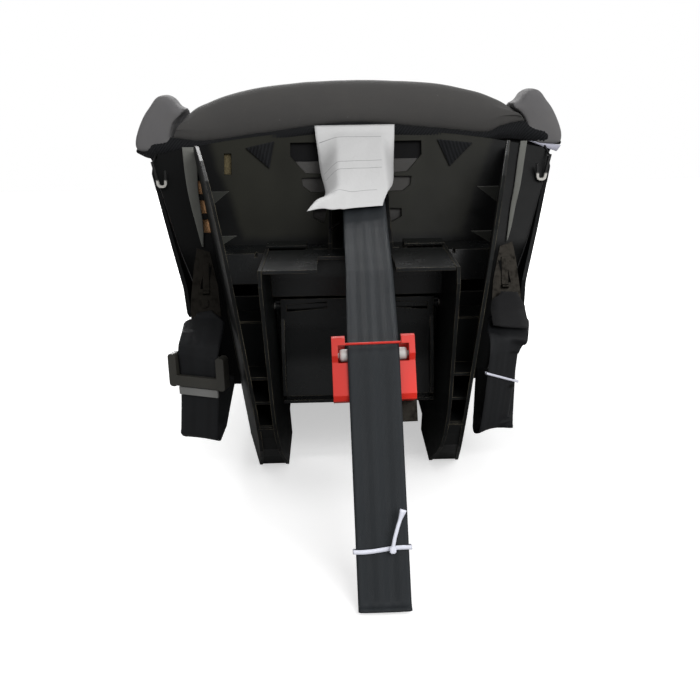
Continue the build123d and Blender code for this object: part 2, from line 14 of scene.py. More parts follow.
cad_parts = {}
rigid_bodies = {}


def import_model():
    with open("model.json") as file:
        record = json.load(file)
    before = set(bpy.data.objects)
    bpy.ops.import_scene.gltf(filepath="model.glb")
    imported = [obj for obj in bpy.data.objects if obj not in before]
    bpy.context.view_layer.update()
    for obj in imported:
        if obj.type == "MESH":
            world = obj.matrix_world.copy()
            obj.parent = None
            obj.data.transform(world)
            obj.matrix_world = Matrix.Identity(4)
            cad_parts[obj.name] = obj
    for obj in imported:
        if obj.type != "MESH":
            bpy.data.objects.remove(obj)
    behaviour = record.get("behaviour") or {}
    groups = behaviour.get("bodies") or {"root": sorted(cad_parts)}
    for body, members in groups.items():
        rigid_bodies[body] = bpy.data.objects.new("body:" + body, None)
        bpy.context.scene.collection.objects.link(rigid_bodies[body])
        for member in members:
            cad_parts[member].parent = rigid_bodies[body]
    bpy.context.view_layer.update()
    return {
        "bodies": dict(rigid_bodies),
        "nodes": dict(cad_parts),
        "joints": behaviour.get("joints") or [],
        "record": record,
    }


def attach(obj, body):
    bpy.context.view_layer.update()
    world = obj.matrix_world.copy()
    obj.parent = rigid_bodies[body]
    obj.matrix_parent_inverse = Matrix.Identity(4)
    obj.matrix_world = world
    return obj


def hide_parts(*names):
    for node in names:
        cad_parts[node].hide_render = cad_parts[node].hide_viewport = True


log = logging.getLogger("seat")

MM = 0.001
ORIGIN_Y = 244.3  # seat millimetres from the bottom of the base to the frame's origin
SEAT = "seat"
SIDES = {"left": -1, "right": 1}
WIDE = 0.038  # width of the adjuster and anchor webbing, in metres
NARROW = 0.025  # width of the harness webbing
PAN_Y, PAN_Z, PAN_SLOPE = 172, 200, 0.4414  # a point on the middle of the pan and its rise, in millimetres
ACROSS = Vector((1, 0, 0))
SQUARE = ((-1, -1), (1, -1), (1, 1), (-1, 1))

Point = tuple[float, float, float]
Colour = tuple[float, float, float]


class Slot(Enum):
    """Material slots of the seat's record."""

    COVER = "cover"
    LINING = "lining"
    FOAM = "foam"
    PAPER = "paper"
    WEBBING = "webbing"
    PALE = "pale"


# ---------------------------------------------------------------- places and curves

def at(x: float, y: float, z: float) -> Vector:
    """Frame point in metres of a point in seat millimetres."""
    return Vector((x, y - ORIGIN_Y, z)) * MM


def beside_pan(height: float, away: float) -> float:
    """Y at a height on the plane that is a distance behind the middle of the pan, in seat millimetres."""
    return PAN_Y + away + (height - PAN_Z) * PAN_SLOPE


def placement(origin: Point, rotation: Matrix) -> Matrix:
    """Matrix from a sub-assembly's own millimetres to the frame.

    Args:
        origin: Its origin in seat millimetres.
        rotation: Its turn as a 3 by 3 matrix.

    Returns:
        The 4 by 4 matrix.
    """
    return Matrix.Translation(at(*origin)) @ rotation.to_4x4() @ Matrix.Diagonal((MM, MM, MM, 1))


def turn(angle: float, axis: str) -> Matrix:
    """3 by 3 rotation by an angle in degrees about an axis."""
    return Matrix.Rotation(math.radians(angle), 3, axis)


def adjuster_place() -> Matrix:
    """Place of the harness adjuster: X across, Y up along the tail, Z out of its face."""
    across, up, front = Vector((1, 0, 0)), Vector((0, 0.41, 0.912)), Vector((0, -0.912, 0.41))
    level = Matrix((across, up, front)).transposed()
    return placement((7, -70.25, 164.95), level @ turn(1.0, "Z"))


def buckle_place() -> Matrix:
    """Place of the crotch buckle: Y towards the head, Z out of its face."""
    return placement((0, 248, 131), turn(-24, "X"))


def spread(low: float, high: float, count: int) -> list[float]:
    """Evenly spaced numbers from low to high, both included."""
    return [low + (high - low) * i / (count - 1) for i in range(count)]


def ease(t: float) -> float:
    """Smooth step of t, held at 0 and 1."""
    t = min(max(t, 0.0), 1.0)
    return t * t * (3 - 2 * t)


def ripple(point: Vector, size: float, seed: float = 0.0) -> float:
    """Smooth noise from -1 to 1 at a point, with features of a size in metres."""
    return noise.noise(point / size + Vector((seed, seed * 1.7, -seed)))


def through(stations: Sequence[tuple[float, float]], x: float) -> float:
    """Height at x of a smooth line through stations.

    Args:
        stations: Pairs of place and height, in rising order of place.
        x: Where to read it, held within the stations.

    Returns:
        The height, from a cubic between neighbouring stations.
    """
    x = min(max(x, stations[0][0]), stations[-1][0])
    i = max(k for k in range(len(stations) - 1) if stations[k][0] <= x)
    near = [stations[min(max(k, 0), len(stations) - 1)] for k in range(i - 1, i + 3)]
    (x0, y0), (x1, y1), (x2, y2), (x3, y3) = near
    t = (x - x1) / (x2 - x1)
    rise1 = (y2 - y0) / (x2 - x0) * (x2 - x1)
    rise2 = (y3 - y1) / (x3 - x1) * (x2 - x1)
    return ((2 * t**3 - 3 * t**2 + 1) * y1 + (t**3 - 2 * t**2 + t) * rise1
            + (3 * t**2 - 2 * t**3) * y2 + (t**3 - t**2) * rise2)


def loop_through(points: Sequence[Sequence[float]], count: int) -> list[tuple[float, float]]:
    """Closed smooth loop through points.

    Args:
        points: Corner points in two coordinates.
        count: Number of points in the result.

    Returns:
        Points spread evenly in the loop's parameter.
    """
    total = len(points)
    loop = []
    for k in range(count):
        place = k / count * total
        i, t = int(place), place - int(place)
        p = [points[(i + j - 1) % total] for j in range(4)]
        weights = (-t + 2 * t**2 - t**3, 2 - 5 * t**2 + 3 * t**3, t + 4 * t**2 - 3 * t**3, t**3 - t**2)
        loop.append(tuple(sum(w * q[axis] for w, q in zip(weights, p)) / 2 for axis in (0, 1)))
    return loop


def heading(path: Sequence[Vector], i: int) -> Vector:
    """Direction of a path at its point i."""
    return (path[min(i + 1, len(path) - 1)] - path[max(i - 1, 0)]).normalized()


def square_to(way: Vector, ahead: Vector) -> Vector:
    """Direction nearest to a way that is square to ahead."""
    return (way - ahead * way.dot(ahead)).normalized()


def rounded(corners: Sequence[Vector], radius: float, step: float = 0.005) -> list[Vector]:
    """Polyline with rounded corners, divided into short steps.

    Args:
        corners: Corner points in metres.
        radius: Corner radius in metres, made smaller where the runs are short.
        step: Longest distance between two points of the result.

    Returns:
        The points in order.
    """
    path = [corners[0]]
    for before, corner, after in zip(corners, corners[1:], corners[2:]):
        back, ahead = before - corner, after - corner
        bend = math.pi - back.angle(ahead)
        if bend < 0.02:
            path.append(corner)
            continue
        reach = min(radius * math.tan(bend / 2), 0.48 * back.length, 0.48 * ahead.length)
        arc_radius = reach / math.tan(bend / 2)
        back.normalize()
        ahead.normalize()
        centre = corner + (back + ahead).normalized() * arc_radius / math.cos(bend / 2)
        start, end = corner + back * reach - centre, corner + ahead * reach - centre
        axis = start.cross(end)
        for t in spread(0, 1, max(3, round(bend / 0.2))):
            path.append(centre + Matrix.Rotation(bend * t, 3, axis) @ start)
    path.append(corners[-1])
    fine = [path[0]]
    for a, b in zip(path, path[1:]):
        pieces = max(1, math.ceil((b - a).length / step))
        fine += [a.lerp(b, k / pieces) for k in range(1, pieces + 1)]
    return fine


# ---------------------------------------------------------------- meshes

def add_object(name: str, mesh: bpy.types.Mesh) -> bpy.types.Object:
    """Object for a mesh, linked to the scene.

    Args:
        name: Name of the piece.
        mesh: Its mesh.

    Returns:
        The new object.
    """
    piece = bpy.data.objects.new(name, mesh)
    bpy.context.scene.collection.objects.link(piece)
    return piece


def make_mesh(name: str, vertices: Sequence[Vector], faces: Sequence[Sequence[int]],
              uvs: Sequence[tuple[float, float]] | None = None) -> bpy.types.Object:
    """Smooth-shaded object from vertices and faces.

    Args:
        name: Name of the piece.
        vertices: Points in metres.
        faces: Vertex numbers of each face.
        uvs: One pair per vertex, in metres over the surface.

    Returns:
        The new object.
    """
    mesh = bpy.data.meshes.new(name)
    mesh.from_pydata([tuple(v) for v in vertices], [], [tuple(f) for f in faces])
    mesh.polygons.foreach_set("use_smooth", [True] * len(mesh.polygons))
    if uvs is not None:
        layer = mesh.uv_layers.new(name="cloth")
        for corner in mesh.loops:
            layer.data[corner.index].uv = uvs[corner.vertex_index]
    tidy_normals(mesh)
    return add_object(name, mesh)


def tidy_normals(mesh: bpy.types.Mesh) -> None:
    """Turns every face of a mesh outwards.

    Args:
        mesh: The mesh, changed in place.
    """
    edit = bmesh.new()
    edit.from_mesh(mesh)
    bmesh.ops.recalc_face_normals(edit, faces=edit.faces)
    edit.to_mesh(mesh)
    edit.free()


def loft(name: str, rings: Sequence[Sequence[Vector]], capped: bool = True) -> bpy.types.Object:
    """Skin over closed rings of equal length, with UVs in metres over it.

    Args:
        name: Name of the piece.
        rings: Rings of points in metres.
        capped: Whether the first and last rings get a face.

    Returns:
        The new object.
    """
    count = len(rings[0])
    vertices = [p for ring in rings for p in ring]
    faces = []
    for i in range(len(rings) - 1):
        for j in range(count):
            k = (j + 1) % count
            faces.append((i * count + j, i * count + k, (i + 1) * count + k, (i + 1) * count + j))
    if capped:
        faces += [tuple(reversed(range(count))), tuple(range((len(rings) - 1) * count, len(rings) * count))]
    along = [0.0]
    for a, b in zip(rings, rings[1:]):
        along.append(along[-1] + (b[count // 3] - a[count // 3]).length)
    uvs = []
    for i, ring in enumerate(rings):
        around = 0.0
        for j, p in enumerate(ring):
            uvs.append((around, along[i]))
            around += (ring[(j + 1) % count] - p).length
    return make_mesh(name, vertices, faces, uvs)


def apply_modifiers(piece: bpy.types.Object) -> None:
    """Makes the modifiers' result the piece's own mesh.

    Args:
        piece: The piece, which has no modifiers afterwards.
    """
    graph = bpy.context.evaluated_depsgraph_get()
    result = bpy.data.meshes.new_from_object(piece.evaluated_get(graph))
    piece.modifiers.clear()
    piece.data = result


def subdivide(piece: bpy.types.Object, levels: int) -> None:
    """Smooths a piece by subdivision."""
    piece.modifiers.new("round", "SUBSURF").levels = levels
    apply_modifiers(piece)


def move_points(piece: bpy.types.Object, change: Callable[[Vector, Vector], Vector]) -> None:
    """Moves each vertex of a piece.

    Args:
        piece: The piece.
        change: Gives the step of a vertex from its place and its normal, in metres.
    """
    moves = [change(v.co.copy(), v.normal.copy()) for v in piece.data.vertices]
    for vertex, move in zip(piece.data.vertices, moves):
        vertex.co += move
    piece.data.update()


def map_cloth(piece: bpy.types.Object, where: Callable[[Vector], tuple[float, float]]) -> None:
    """Gives a piece UVs in metres from a function of place.

    Args:
        piece: The piece.
        where: Gives the two numbers, in metres, from a vertex's place.
    """
    mesh = piece.data
    layer = mesh.uv_layers.get("cloth") or mesh.uv_layers.new(name="cloth")
    for corner in mesh.loops:
        layer.data[corner.index].uv = where(mesh.vertices[corner.vertex_index].co)


@dataclass(frozen=True)
class Stuffing:
    """How a soft form swells: remesh size, air pressure, and the most that a point may move, in metres."""

    voxel: float = 0.005
    pressure: float = 4.0
    travel: float = 0.008
    steps: int = 20
    quality: int = 6
    stiffness: float = 20
    bending: float = 0.4

    def fill(self, piece: bpy.types.Object) -> None:
        """Swells a closed piece as padded cloth and keeps the result as its mesh.

        Args:
            piece: Closed form in the space of the pad, slightly smaller than the pad.
        """
        remesh = piece.modifiers.new("voxels", "REMESH")
        remesh.mode = "VOXEL"
        remesh.voxel_size = self.voxel
        apply_modifiers(piece)
        rest = [v.co.copy() for v in piece.data.vertices]
        self.blow(piece)
        for vertex, start in zip(piece.data.vertices, rest):
            move = vertex.co - start
            if move.length > self.travel:
                vertex.co = start + move * (self.travel / move.length)
        subdivide(piece, 1)
        piece.data.polygons.foreach_set("use_smooth", [True] * len(piece.data.polygons))

    def blow(self, piece: bpy.types.Object) -> None:
        """Runs the cloth simulation on a piece and applies it.

        Args:
            piece: Closed form in the space of the pad.
        """
        cloth = piece.modifiers.new("cloth", "CLOTH")
        settings = cloth.settings
        settings.use_pressure = True
        settings.uniform_pressure_force = self.pressure
        settings.effector_weights.gravity = 0
        settings.quality = self.quality
        settings.tension_stiffness = self.stiffness
        settings.compression_stiffness = self.stiffness
        settings.bending_stiffness = self.bending
        cloth.collision_settings.use_self_collision = False
        scene = bpy.context.scene
        for frame_number in range(1, self.steps + 1):
            scene.frame_set(frame_number)
        apply_modifiers(piece)
        scene.frame_set(1)


# ---------------------------------------------------------------- materials

def linear(red: int, green: int, blue: int) -> Colour:
    """Linear colour of an sRGB one given from 0 to 255."""
    return tuple(c / 12.92 if c < 0.04045 else ((c + 0.055) / 1.055) ** 2.4 for c in (
        red / 255, green / 255, blue / 255))


def scaled(colour: Colour, factor: float) -> Colour:
    """Colour made lighter or darker."""
    return tuple(c * factor for c in colour)


class Signal:
    """A node's output. Arithmetic on it adds Math nodes, so values are for numbers and not for colours."""

    def __init__(self, graph: "Nodes", socket: bpy.types.NodeSocket) -> None:
        """Wraps a socket of a graph."""
        self.graph = graph
        self.socket = socket

    def maths(self, operation: str, *values: "Signal | float") -> "Signal":
        """Math node on this and other values."""
        return self.graph.maths(operation, self, *values)

    def __add__(self, other: "Signal | float") -> "Signal":
        """Sum."""
        return self.maths("ADD", other)

    __radd__ = __add__

    def __mul__(self, other: "Signal | float") -> "Signal":
        """Product."""
        return self.maths("MULTIPLY", other)

    __rmul__ = __mul__

    def __sub__(self, other: "Signal | float") -> "Signal":
        """Difference."""
        return self.maths("SUBTRACT", other)

    def __rsub__(self, other: float) -> "Signal":
        """Difference from a number."""
        return self.graph.maths("SUBTRACT", other, self)

    def wave(self, pitch: float) -> "Signal":
        """Sine from 0 to 1 of a place in metres, with a pitch in metres."""
        return (self * (2 * math.pi / pitch)).maths("SINE") * 0.5 + 0.5

    def ramp(self, low: float, high: float) -> "Signal":
        """0 below low and 1 above high, smooth between.

        Args:
            low: Where the ramp starts.
            high: Where it ends.

        Returns:
            The ramp.
        """
        settings = {"data_type": "FLOAT", "interpolation_type": "SMOOTHSTEP"}
        return self.graph.node("ShaderNodeMapRange", settings, {
            "Value": self, "From Min": low, "From Max": high})


class Nodes:
    """Node tree of a material or of the world."""

    def __init__(self, tree: bpy.types.NodeTree) -> None:
        """Starts with an empty tree."""
        self.tree = tree
        self.tree.nodes.clear()

    def node(self, kind: str, settings: dict | None = None, inputs: dict | None = None,
             output: str | int = 0) -> Signal:
        """Any node.

        Args:
            kind: Its type.
            settings: Its properties, set first.
            inputs: Its sockets' values or links, by name or number.
            output: The socket that is returned, by name or number.

        Returns:
            The chosen output.
        """
        made = self.tree.nodes.new(kind)
        for name, value in (settings or {}).items():
            setattr(made, name, value)
        for name, value in (inputs or {}).items():
            self.feed(made.inputs[name], value)
        return Signal(self, made.outputs[output])

    def feed(self, socket: bpy.types.NodeSocket, value: "Signal | float | Sequence[float]") -> None:
        """Links or sets one input socket.

        Args:
            socket: The input.
            value: A link, a number or a colour.
        """
        if isinstance(value, Signal):
            self.tree.links.new(value.socket, socket)
        elif isinstance(value, tuple) and socket.type == "RGBA":
            socket.default_value = (*value[:3], 1)
        else:
            socket.default_value = value

    def show(self, kind: str, shader: Signal) -> None:
        """Output node of a kind, fed by a shader."""
        self.tree.links.new(shader.socket, self.tree.nodes.new(kind).inputs["Surface"])

    def maths(self, operation: str, *values: "Signal | float") -> Signal:
        """Math node."""
        return self.node("ShaderNodeMath", {"operation": operation}, dict(enumerate(values)))

    def split(self, vector: Signal) -> tuple[Signal, Signal, Signal]:
        """The three numbers of a vector."""
        parts = self.node("ShaderNodeSeparateXYZ", None, {0: vector}).socket.node
        return tuple(Signal(self, socket) for socket in parts.outputs)


class Graph(Nodes):
    """Node tree of one material, from its shader outwards."""

    def __init__(self, name: str) -> None:
        """Starts a material with a Principled shader.

        Args:
            name: Name of the material.
        """
        self.material = bpy.data.materials.new(name)
        self.material.use_nodes = True
        super().__init__(self.material.node_tree)
        shader = self.node("ShaderNodeBsdfPrincipled")
        self.shader = shader.socket.node
        self.show("ShaderNodeOutputMaterial", shader)

    def surface(self, **inputs: "Signal | float | Sequence[float]") -> None:
        """Sets or links the shader's sockets, with _ for a space in a name."""
        for name, value in inputs.items():
            self.feed(self.shader.inputs[name.replace("_", " ")], value)

    def place(self) -> Signal:
        """Place on the object, in metres."""
        return self.node("ShaderNodeTexCoord", output="Object")

    def cloth(self) -> tuple[Signal, Signal, Signal]:
        """Place over the cloth in metres, as a vector and as its two numbers."""
        uv = self.node("ShaderNodeUVMap", {"uv_map": "cloth"})
        return (uv, *self.split(uv)[:2])

    def edge_wear_and_highlight(self, softened: Signal) -> Signal:
        """1 on the edges of a solid, where the softened normal leaves the true one.

        Args:
            softened: Normal with rounded edges.

        Returns:
            The mask.
        """
        true = self.node("ShaderNodeNewGeometry", output="Normal")
        agree = self.node("ShaderNodeVectorMath", {"operation": "DOT_PRODUCT"}, {0: softened, 1: true},
                          "Value")
        return (1 - agree).ramp(0.01, 0.12)

    def noise(self, where: Signal, size: float, detail: float = 2.0, rough: float = 0.5,
              stretch: Point = (1, 1, 1)) -> Signal:
        """Noise about 0.5 with features of a size in metres, longer where stretch is under 1.

        Args:
            where: Place on the surface.
            size: Size of the features.
            detail: Number of finer layers.
            rough: Weight of the finer layers.
            stretch: Share of the frequency along each axis.

        Returns:
            The noise.
        """
        scaled_place = self.node("ShaderNodeVectorMath", {"operation": "MULTIPLY"}, {
            0: where, 1: tuple(s / size for s in stretch)})
        return self.node("ShaderNodeTexNoise", {"noise_dimensions": "3D"}, {
            "Vector": scaled_place, "Scale": 1.0, "Detail": detail, "Roughness": rough})

    def cells(self, where: Signal, size: float) -> Signal:
        """Distance to the nearest of scattered points, in units of their spacing in metres.

        Args:
            where: Place on the surface.
            size: Spacing of the points.

        Returns:
            The distance.
        """
        scaled_place = self.node("ShaderNodeVectorMath", {"operation": "SCALE"}, {
            0: where, "Scale": 1 / size})
        return self.node("ShaderNodeTexVoronoi", None, {"Vector": scaled_place, "Scale": 1.0}, "Distance")

    def mix(self, factor: Signal, first: "Signal | Colour", second: "Signal | Colour") -> Signal:
        """Colour between two by a factor.

        Args:
            factor: 0 for the first colour, 1 for the second.
            first: A colour or a link.
            second: A colour or a link.

        Returns:
            The mixed colour.
        """
        colours = {"Factor": factor, 6: first, 7: second}
        return self.node("ShaderNodeMix", {"data_type": "RGBA"}, colours, 2)

    def soft_edges(self, radius: float) -> Signal:
        """Normal that rounds the edges of hard solids, with a radius in metres."""
        return self.node("ShaderNodeBevel", {"samples": 4}, {"Radius": radius})

    def bump(self, height: Signal, depth: float, normal: Signal | None = None,
             strength: float = 1.0) -> Signal:
        """Normal from a height from 0 to 1 and a depth in metres.

        Args:
            height: The height.
            depth: What a height of 1 measures.
            normal: Normal that it starts from.
            strength: Share of the bump.

        Returns:
            The normal.
        """
        inputs = {"Height": height, "Distance": depth, "Strength": strength}
        if normal is not None:
            inputs["Normal"] = normal
        return self.node("ShaderNodeBump", None, inputs)


@dataclass(frozen=True)
class Finish:
    """What every finish has: a name, a colour and a roughness."""

    name: str
    colour: Colour
    rough: float

    def material(self) -> bpy.types.Material:
        """The finish's material, made once."""
        made = bpy.data.materials.get(self.name)
        if made is None:
            graph = Graph(self.name)
            self.paint(graph)
            made = graph.material
            made.name = self.name
        return made

    def paint(self, graph: Graph) -> None:
        """Builds the nodes."""
        raise NotImplementedError


@dataclass(frozen=True)
class Moulded(Finish):
    """Injection-moulded plastic: fine grain, faint flow marks, scuffs, and rims painted lighter, partly as
    wear and partly as painted highlight.
    """

    grain: float = 0.00001
    swirl: float = 0.00008
    edge: float = 0.0008
    sheen_patch: float = 0.12
    shine: float = 0.3
    # colour of the scuffs, and of the rims painted lighter as wear and as painted highlight
    wear_and_highlight: Colour = (0.05, 0.048, 0.045)
    rim: float = 0.0

    def paint(self, graph: Graph) -> None:
        """Builds the nodes.

        Args:
            graph: The nodes of the material.
        """
        place = graph.place()
        flow = graph.noise(place, 0.06, 2, stretch=(1, 1, 0.5))
        patches = graph.noise(place, 0.018, 4, 0.6)
        scuffs = graph.noise(place, 0.006, 3, 0.7, (1, 0.3, 0.9)).ramp(0.66, 0.85)
        grain = graph.noise(place, 0.0005, 1)
        colour = graph.mix(flow.ramp(0.3, 0.75), scaled(self.colour, 0.8), scaled(self.colour, 1.25))
        colour = self.shade(graph, place, colour)
        colour = graph.mix(scuffs * 0.12, colour, self.wear_and_highlight)
        normal = graph.soft_edges(self.edge)
        # rims painted lighter: partly wear, partly painted highlight on the edges
        if self.rim:
            wear = graph.edge_wear_and_highlight(normal) * patches.ramp(0.3, 0.7) * self.rim
            colour = graph.mix(wear, colour, self.wear_and_highlight)
        normal = graph.bump(flow, self.swirl * 6, normal, 0.5)
        normal = graph.bump(grain, self.grain, normal)
        roughness = patches * self.sheen_patch + scuffs * 0.1 + (self.rough - self.sheen_patch / 2)
        graph.surface(Base_Color=colour, Roughness=roughness, Normal=normal, IOR=1.5,
                      Specular_IOR_Level=self.shine)

    def shade(self, graph: Graph, place: Signal, colour: Signal) -> Signal:
        """Colour over the surface, before wear."""
        return colour


@dataclass(frozen=True)
class PanPlastic(Moulded):
    """Plastic of the pan: olive in the middle, darkened towards the rails by painted shade and a painted
    reflection of the dark rails, and darkened at its foot by the shelf with painted shade.
    """

    # colour of the painted shade and painted reflection of the rails
    dark: Colour = (0.003, 0.0033, 0.0034)
    half: float = 0.026
    widening: float = 0.39
    shelf: tuple[float, float] = (0.203, 0.214)

    def shade(self, graph: Graph, place: Signal, colour: Signal) -> Signal:
        """Colour over the pan, with the painted shade and painted reflection towards the rails and the shelf.

        Args:
            graph: The nodes of the material.
            place: Place on the object.
            colour: Colour before it.

        Returns:
            The colour.
        """
        across, _, height = graph.split(place)
        wander = (graph.noise(place, 0.03, 2) - 0.5) * 0.012
        # painted shade and painted reflection of the dark rails beside the pan, and painted shade at the
        # pan's foot by the shelf
        edge = across.maths("ABSOLUTE") - height * self.widening - self.half
        beside = (edge + wander).ramp(-0.005, 0.005)
        below = 1 - (height + wander * 0.5).ramp(*self.shelf)
        return graph.mix(beside.maths("MAXIMUM", below), colour, self.dark)


@dataclass(frozen=True)
class TippedPlastic(Moulded):
    """Hook plastic: pale bend below dark arms."""

    dark: Colour = (0.012, 0.012, 0.012)
    change: float = 0.2645

    def shade(self, graph: Graph, place: Signal, colour: Signal) -> Signal:
        """Colour over the hook."""
        _, _, height = graph.split(place)
        return graph.mix((height - self.change).ramp(-0.001, 0.001), colour, self.dark)


@dataclass(frozen=True)
class Metal(Finish):
    """Sheet or wire metal with fine rolling marks and dull spots."""

    edge: float = 0.0004

    def paint(self, graph: Graph) -> None:
        """Builds the nodes.

        Args:
            graph: The nodes of the material.
        """
        place = graph.place()
        marks = graph.noise(place, 0.0016, 2, 0.6, (1, 0.08, 1))
        spots = graph.noise(place, 0.006, 4, 0.65).ramp(0.45, 0.75)
        colour = graph.mix(spots, self.colour, scaled(self.colour, 0.55))
        roughness = marks * 0.16 + spots * 0.18 + (self.rough - 0.1)
        normal = graph.bump(marks, 0.00003, graph.soft_edges(self.edge))
        graph.surface(Base_Color=colour, Roughness=roughness, Normal=normal, Metallic=1.0)


@dataclass(frozen=True)
class Woven(Finish):
    """Cloth in a plain fine weave with lint, nap and faint wear."""

    pitch: float = 0.0009
    depth: float = 0.00012
    nap: Colour = (0.12, 0.12, 0.115)
    lint: float = 0.0
    mottle: float = 0.35

    def paint(self, graph: Graph) -> None:
        """Builds the nodes.

        Args:
            graph: The nodes of the material.
        """
        uv, across, along = graph.cloth()
        threads = across.wave(self.pitch) * along.wave(self.pitch)
        threads = threads + (1 - across.wave(self.pitch)) * (1 - along.wave(self.pitch))
        fuzz = graph.noise(uv, 0.0007, 3, 0.7)
        cloud = graph.noise(uv, 0.03, 4, 0.6)
        colour = graph.mix(threads * 0.6 + fuzz * 0.5, scaled(self.colour, 0.72), scaled(self.colour, 1.3))
        colour = graph.mix(cloud.ramp(0.35, 0.8) * self.mottle, colour, self.nap)
        if self.lint:
            specks = 1 - graph.cells(uv, 0.011).ramp(0.0, self.lint)
            colour = graph.mix(specks * 0.75, colour, (0.4, 0.4, 0.38))
        normal = graph.bump(threads + fuzz * 0.6, self.depth)
        graph.surface(Base_Color=colour, Roughness=cloud * 0.1 + (self.rough - 0.05), Normal=normal,
                      Sheen_Weight=0.08, Sheen_Roughness=0.5, Specular_IOR_Level=0.12)


@dataclass(frozen=True)
class Twill(Finish):
    """Gathered twill tape: slanting ribs over a fine weave."""

    pitch: float = 0.0022
    depth: float = 0.0004
    slant: float = 0.8

    def paint(self, graph: Graph) -> None:
        """Builds the nodes.

        Args:
            graph: The nodes of the material.
        """
        uv, across, along = graph.cloth()
        wander = graph.noise(uv, 0.012, 2) * 0.0022
        ribs = (along + across * self.slant + wander).wave(self.pitch)
        threads = (along - across * self.slant).wave(0.0006)
        fuzz = graph.noise(uv, 0.0006, 3, 0.7)
        colour = graph.mix(ribs * 0.8 + fuzz * 0.3, scaled(self.colour, 0.45), scaled(self.colour, 1.5))
        normal = graph.bump(ribs + threads * 0.2 + fuzz * 0.2, self.depth)
        graph.surface(Base_Color=colour, Roughness=fuzz * 0.1 + (self.rough - 0.05), Normal=normal,
                      Sheen_Weight=0.05, Specular_IOR_Level=0.12)


@dataclass(frozen=True)
class Webbing(Finish):
    """Flat harness webbing: lengthwise bands, cross picks and shiny filament yarn."""

    width: float = 0.038
    bands: int = 5
    pick: float = 0.0011

    def paint(self, graph: Graph) -> None:
        """Builds the nodes.

        Args:
            graph: The nodes of the material.
        """
        uv, across, along = graph.cloth()
        band = (across * (self.bands / self.width)).maths("FRACT")
        tone = across.wave(self.width * 0.43)
        zig = (band - 0.5).maths("ABSOLUTE") * (self.width / self.bands)
        picks = (along + zig).wave(self.pick)
        yarns = across.wave(0.0009)
        fuzz = graph.noise(uv, 0.0009, 3, 0.7, (1, 0.35, 1))
        cloud = graph.noise(uv, 0.02, 3)
        light = picks * 0.4 + yarns * 0.2 + fuzz * 0.35 + tone * 0.22
        colour = graph.mix(light, scaled(self.colour, 0.55), scaled(self.colour, 1.5))
        normal = graph.bump(picks * 0.5 + yarns * 0.25 + fuzz * 0.25, 0.00016)
        graph.surface(Base_Color=colour, Roughness=cloud * 0.16 + fuzz * 0.1 + (self.rough - 0.13),
                      Normal=normal, Specular_IOR_Level=0.2)


@dataclass(frozen=True)
class Foam(Finish):
    """Open-cell foam."""

    def paint(self, graph: Graph) -> None:
        """Builds the nodes.

        Args:
            graph: The nodes of the material.
        """
        place = graph.place()
        cells = graph.cells(place, 0.0013)
        cloud = graph.noise(place, 0.02, 3)
        colour = graph.mix(cells, scaled(self.colour, 0.6), scaled(self.colour, 1.2))
        colour = graph.mix(cloud.ramp(0.4, 0.8) * 0.4, colour, scaled(self.colour, 0.7))
        graph.surface(Base_Color=colour, Roughness=cells * 0.1 + self.rough,
                      Normal=graph.bump(cells, 0.0006))


@dataclass(frozen=True)
class Ruled(Finish):
    """Non-woven label cloth with a few fine ruled lines and creases."""

    ink: Colour = (0.09, 0.09, 0.1)
    lines: tuple[float, ...] = (0.016, 0.062, 0.076, 0.118)
    middle: float = 0.035
    half: float = 0.033

    def paint(self, graph: Graph) -> None:
        """Builds the nodes.

        Args:
            graph: The nodes of the material.
        """
        uv, across, along = graph.cloth()
        fibre = graph.noise(uv, 0.0012, 4, 0.7)
        crease = graph.noise(uv, 0.02, 3, 0.6)
        rule = None
        for place in self.lines:
            line = 1 - (along - place).maths("ABSOLUTE").ramp(0.0002, 0.0005)
            rule = line if rule is None else rule.maths("MAXIMUM", line)
        inside = (across - self.middle).maths("ABSOLUTE").maths("LESS_THAN", self.half)
        colour = graph.mix(fibre, scaled(self.colour, 0.92), self.colour)
        colour = graph.mix(rule * inside * (fibre * 0.5 + 0.45), colour, self.ink)
        graph.surface(Base_Color=colour, Roughness=fibre * 0.15 + (self.rough - 0.07),
                      Normal=graph.bump(crease + fibre * 0.12, 0.0011))


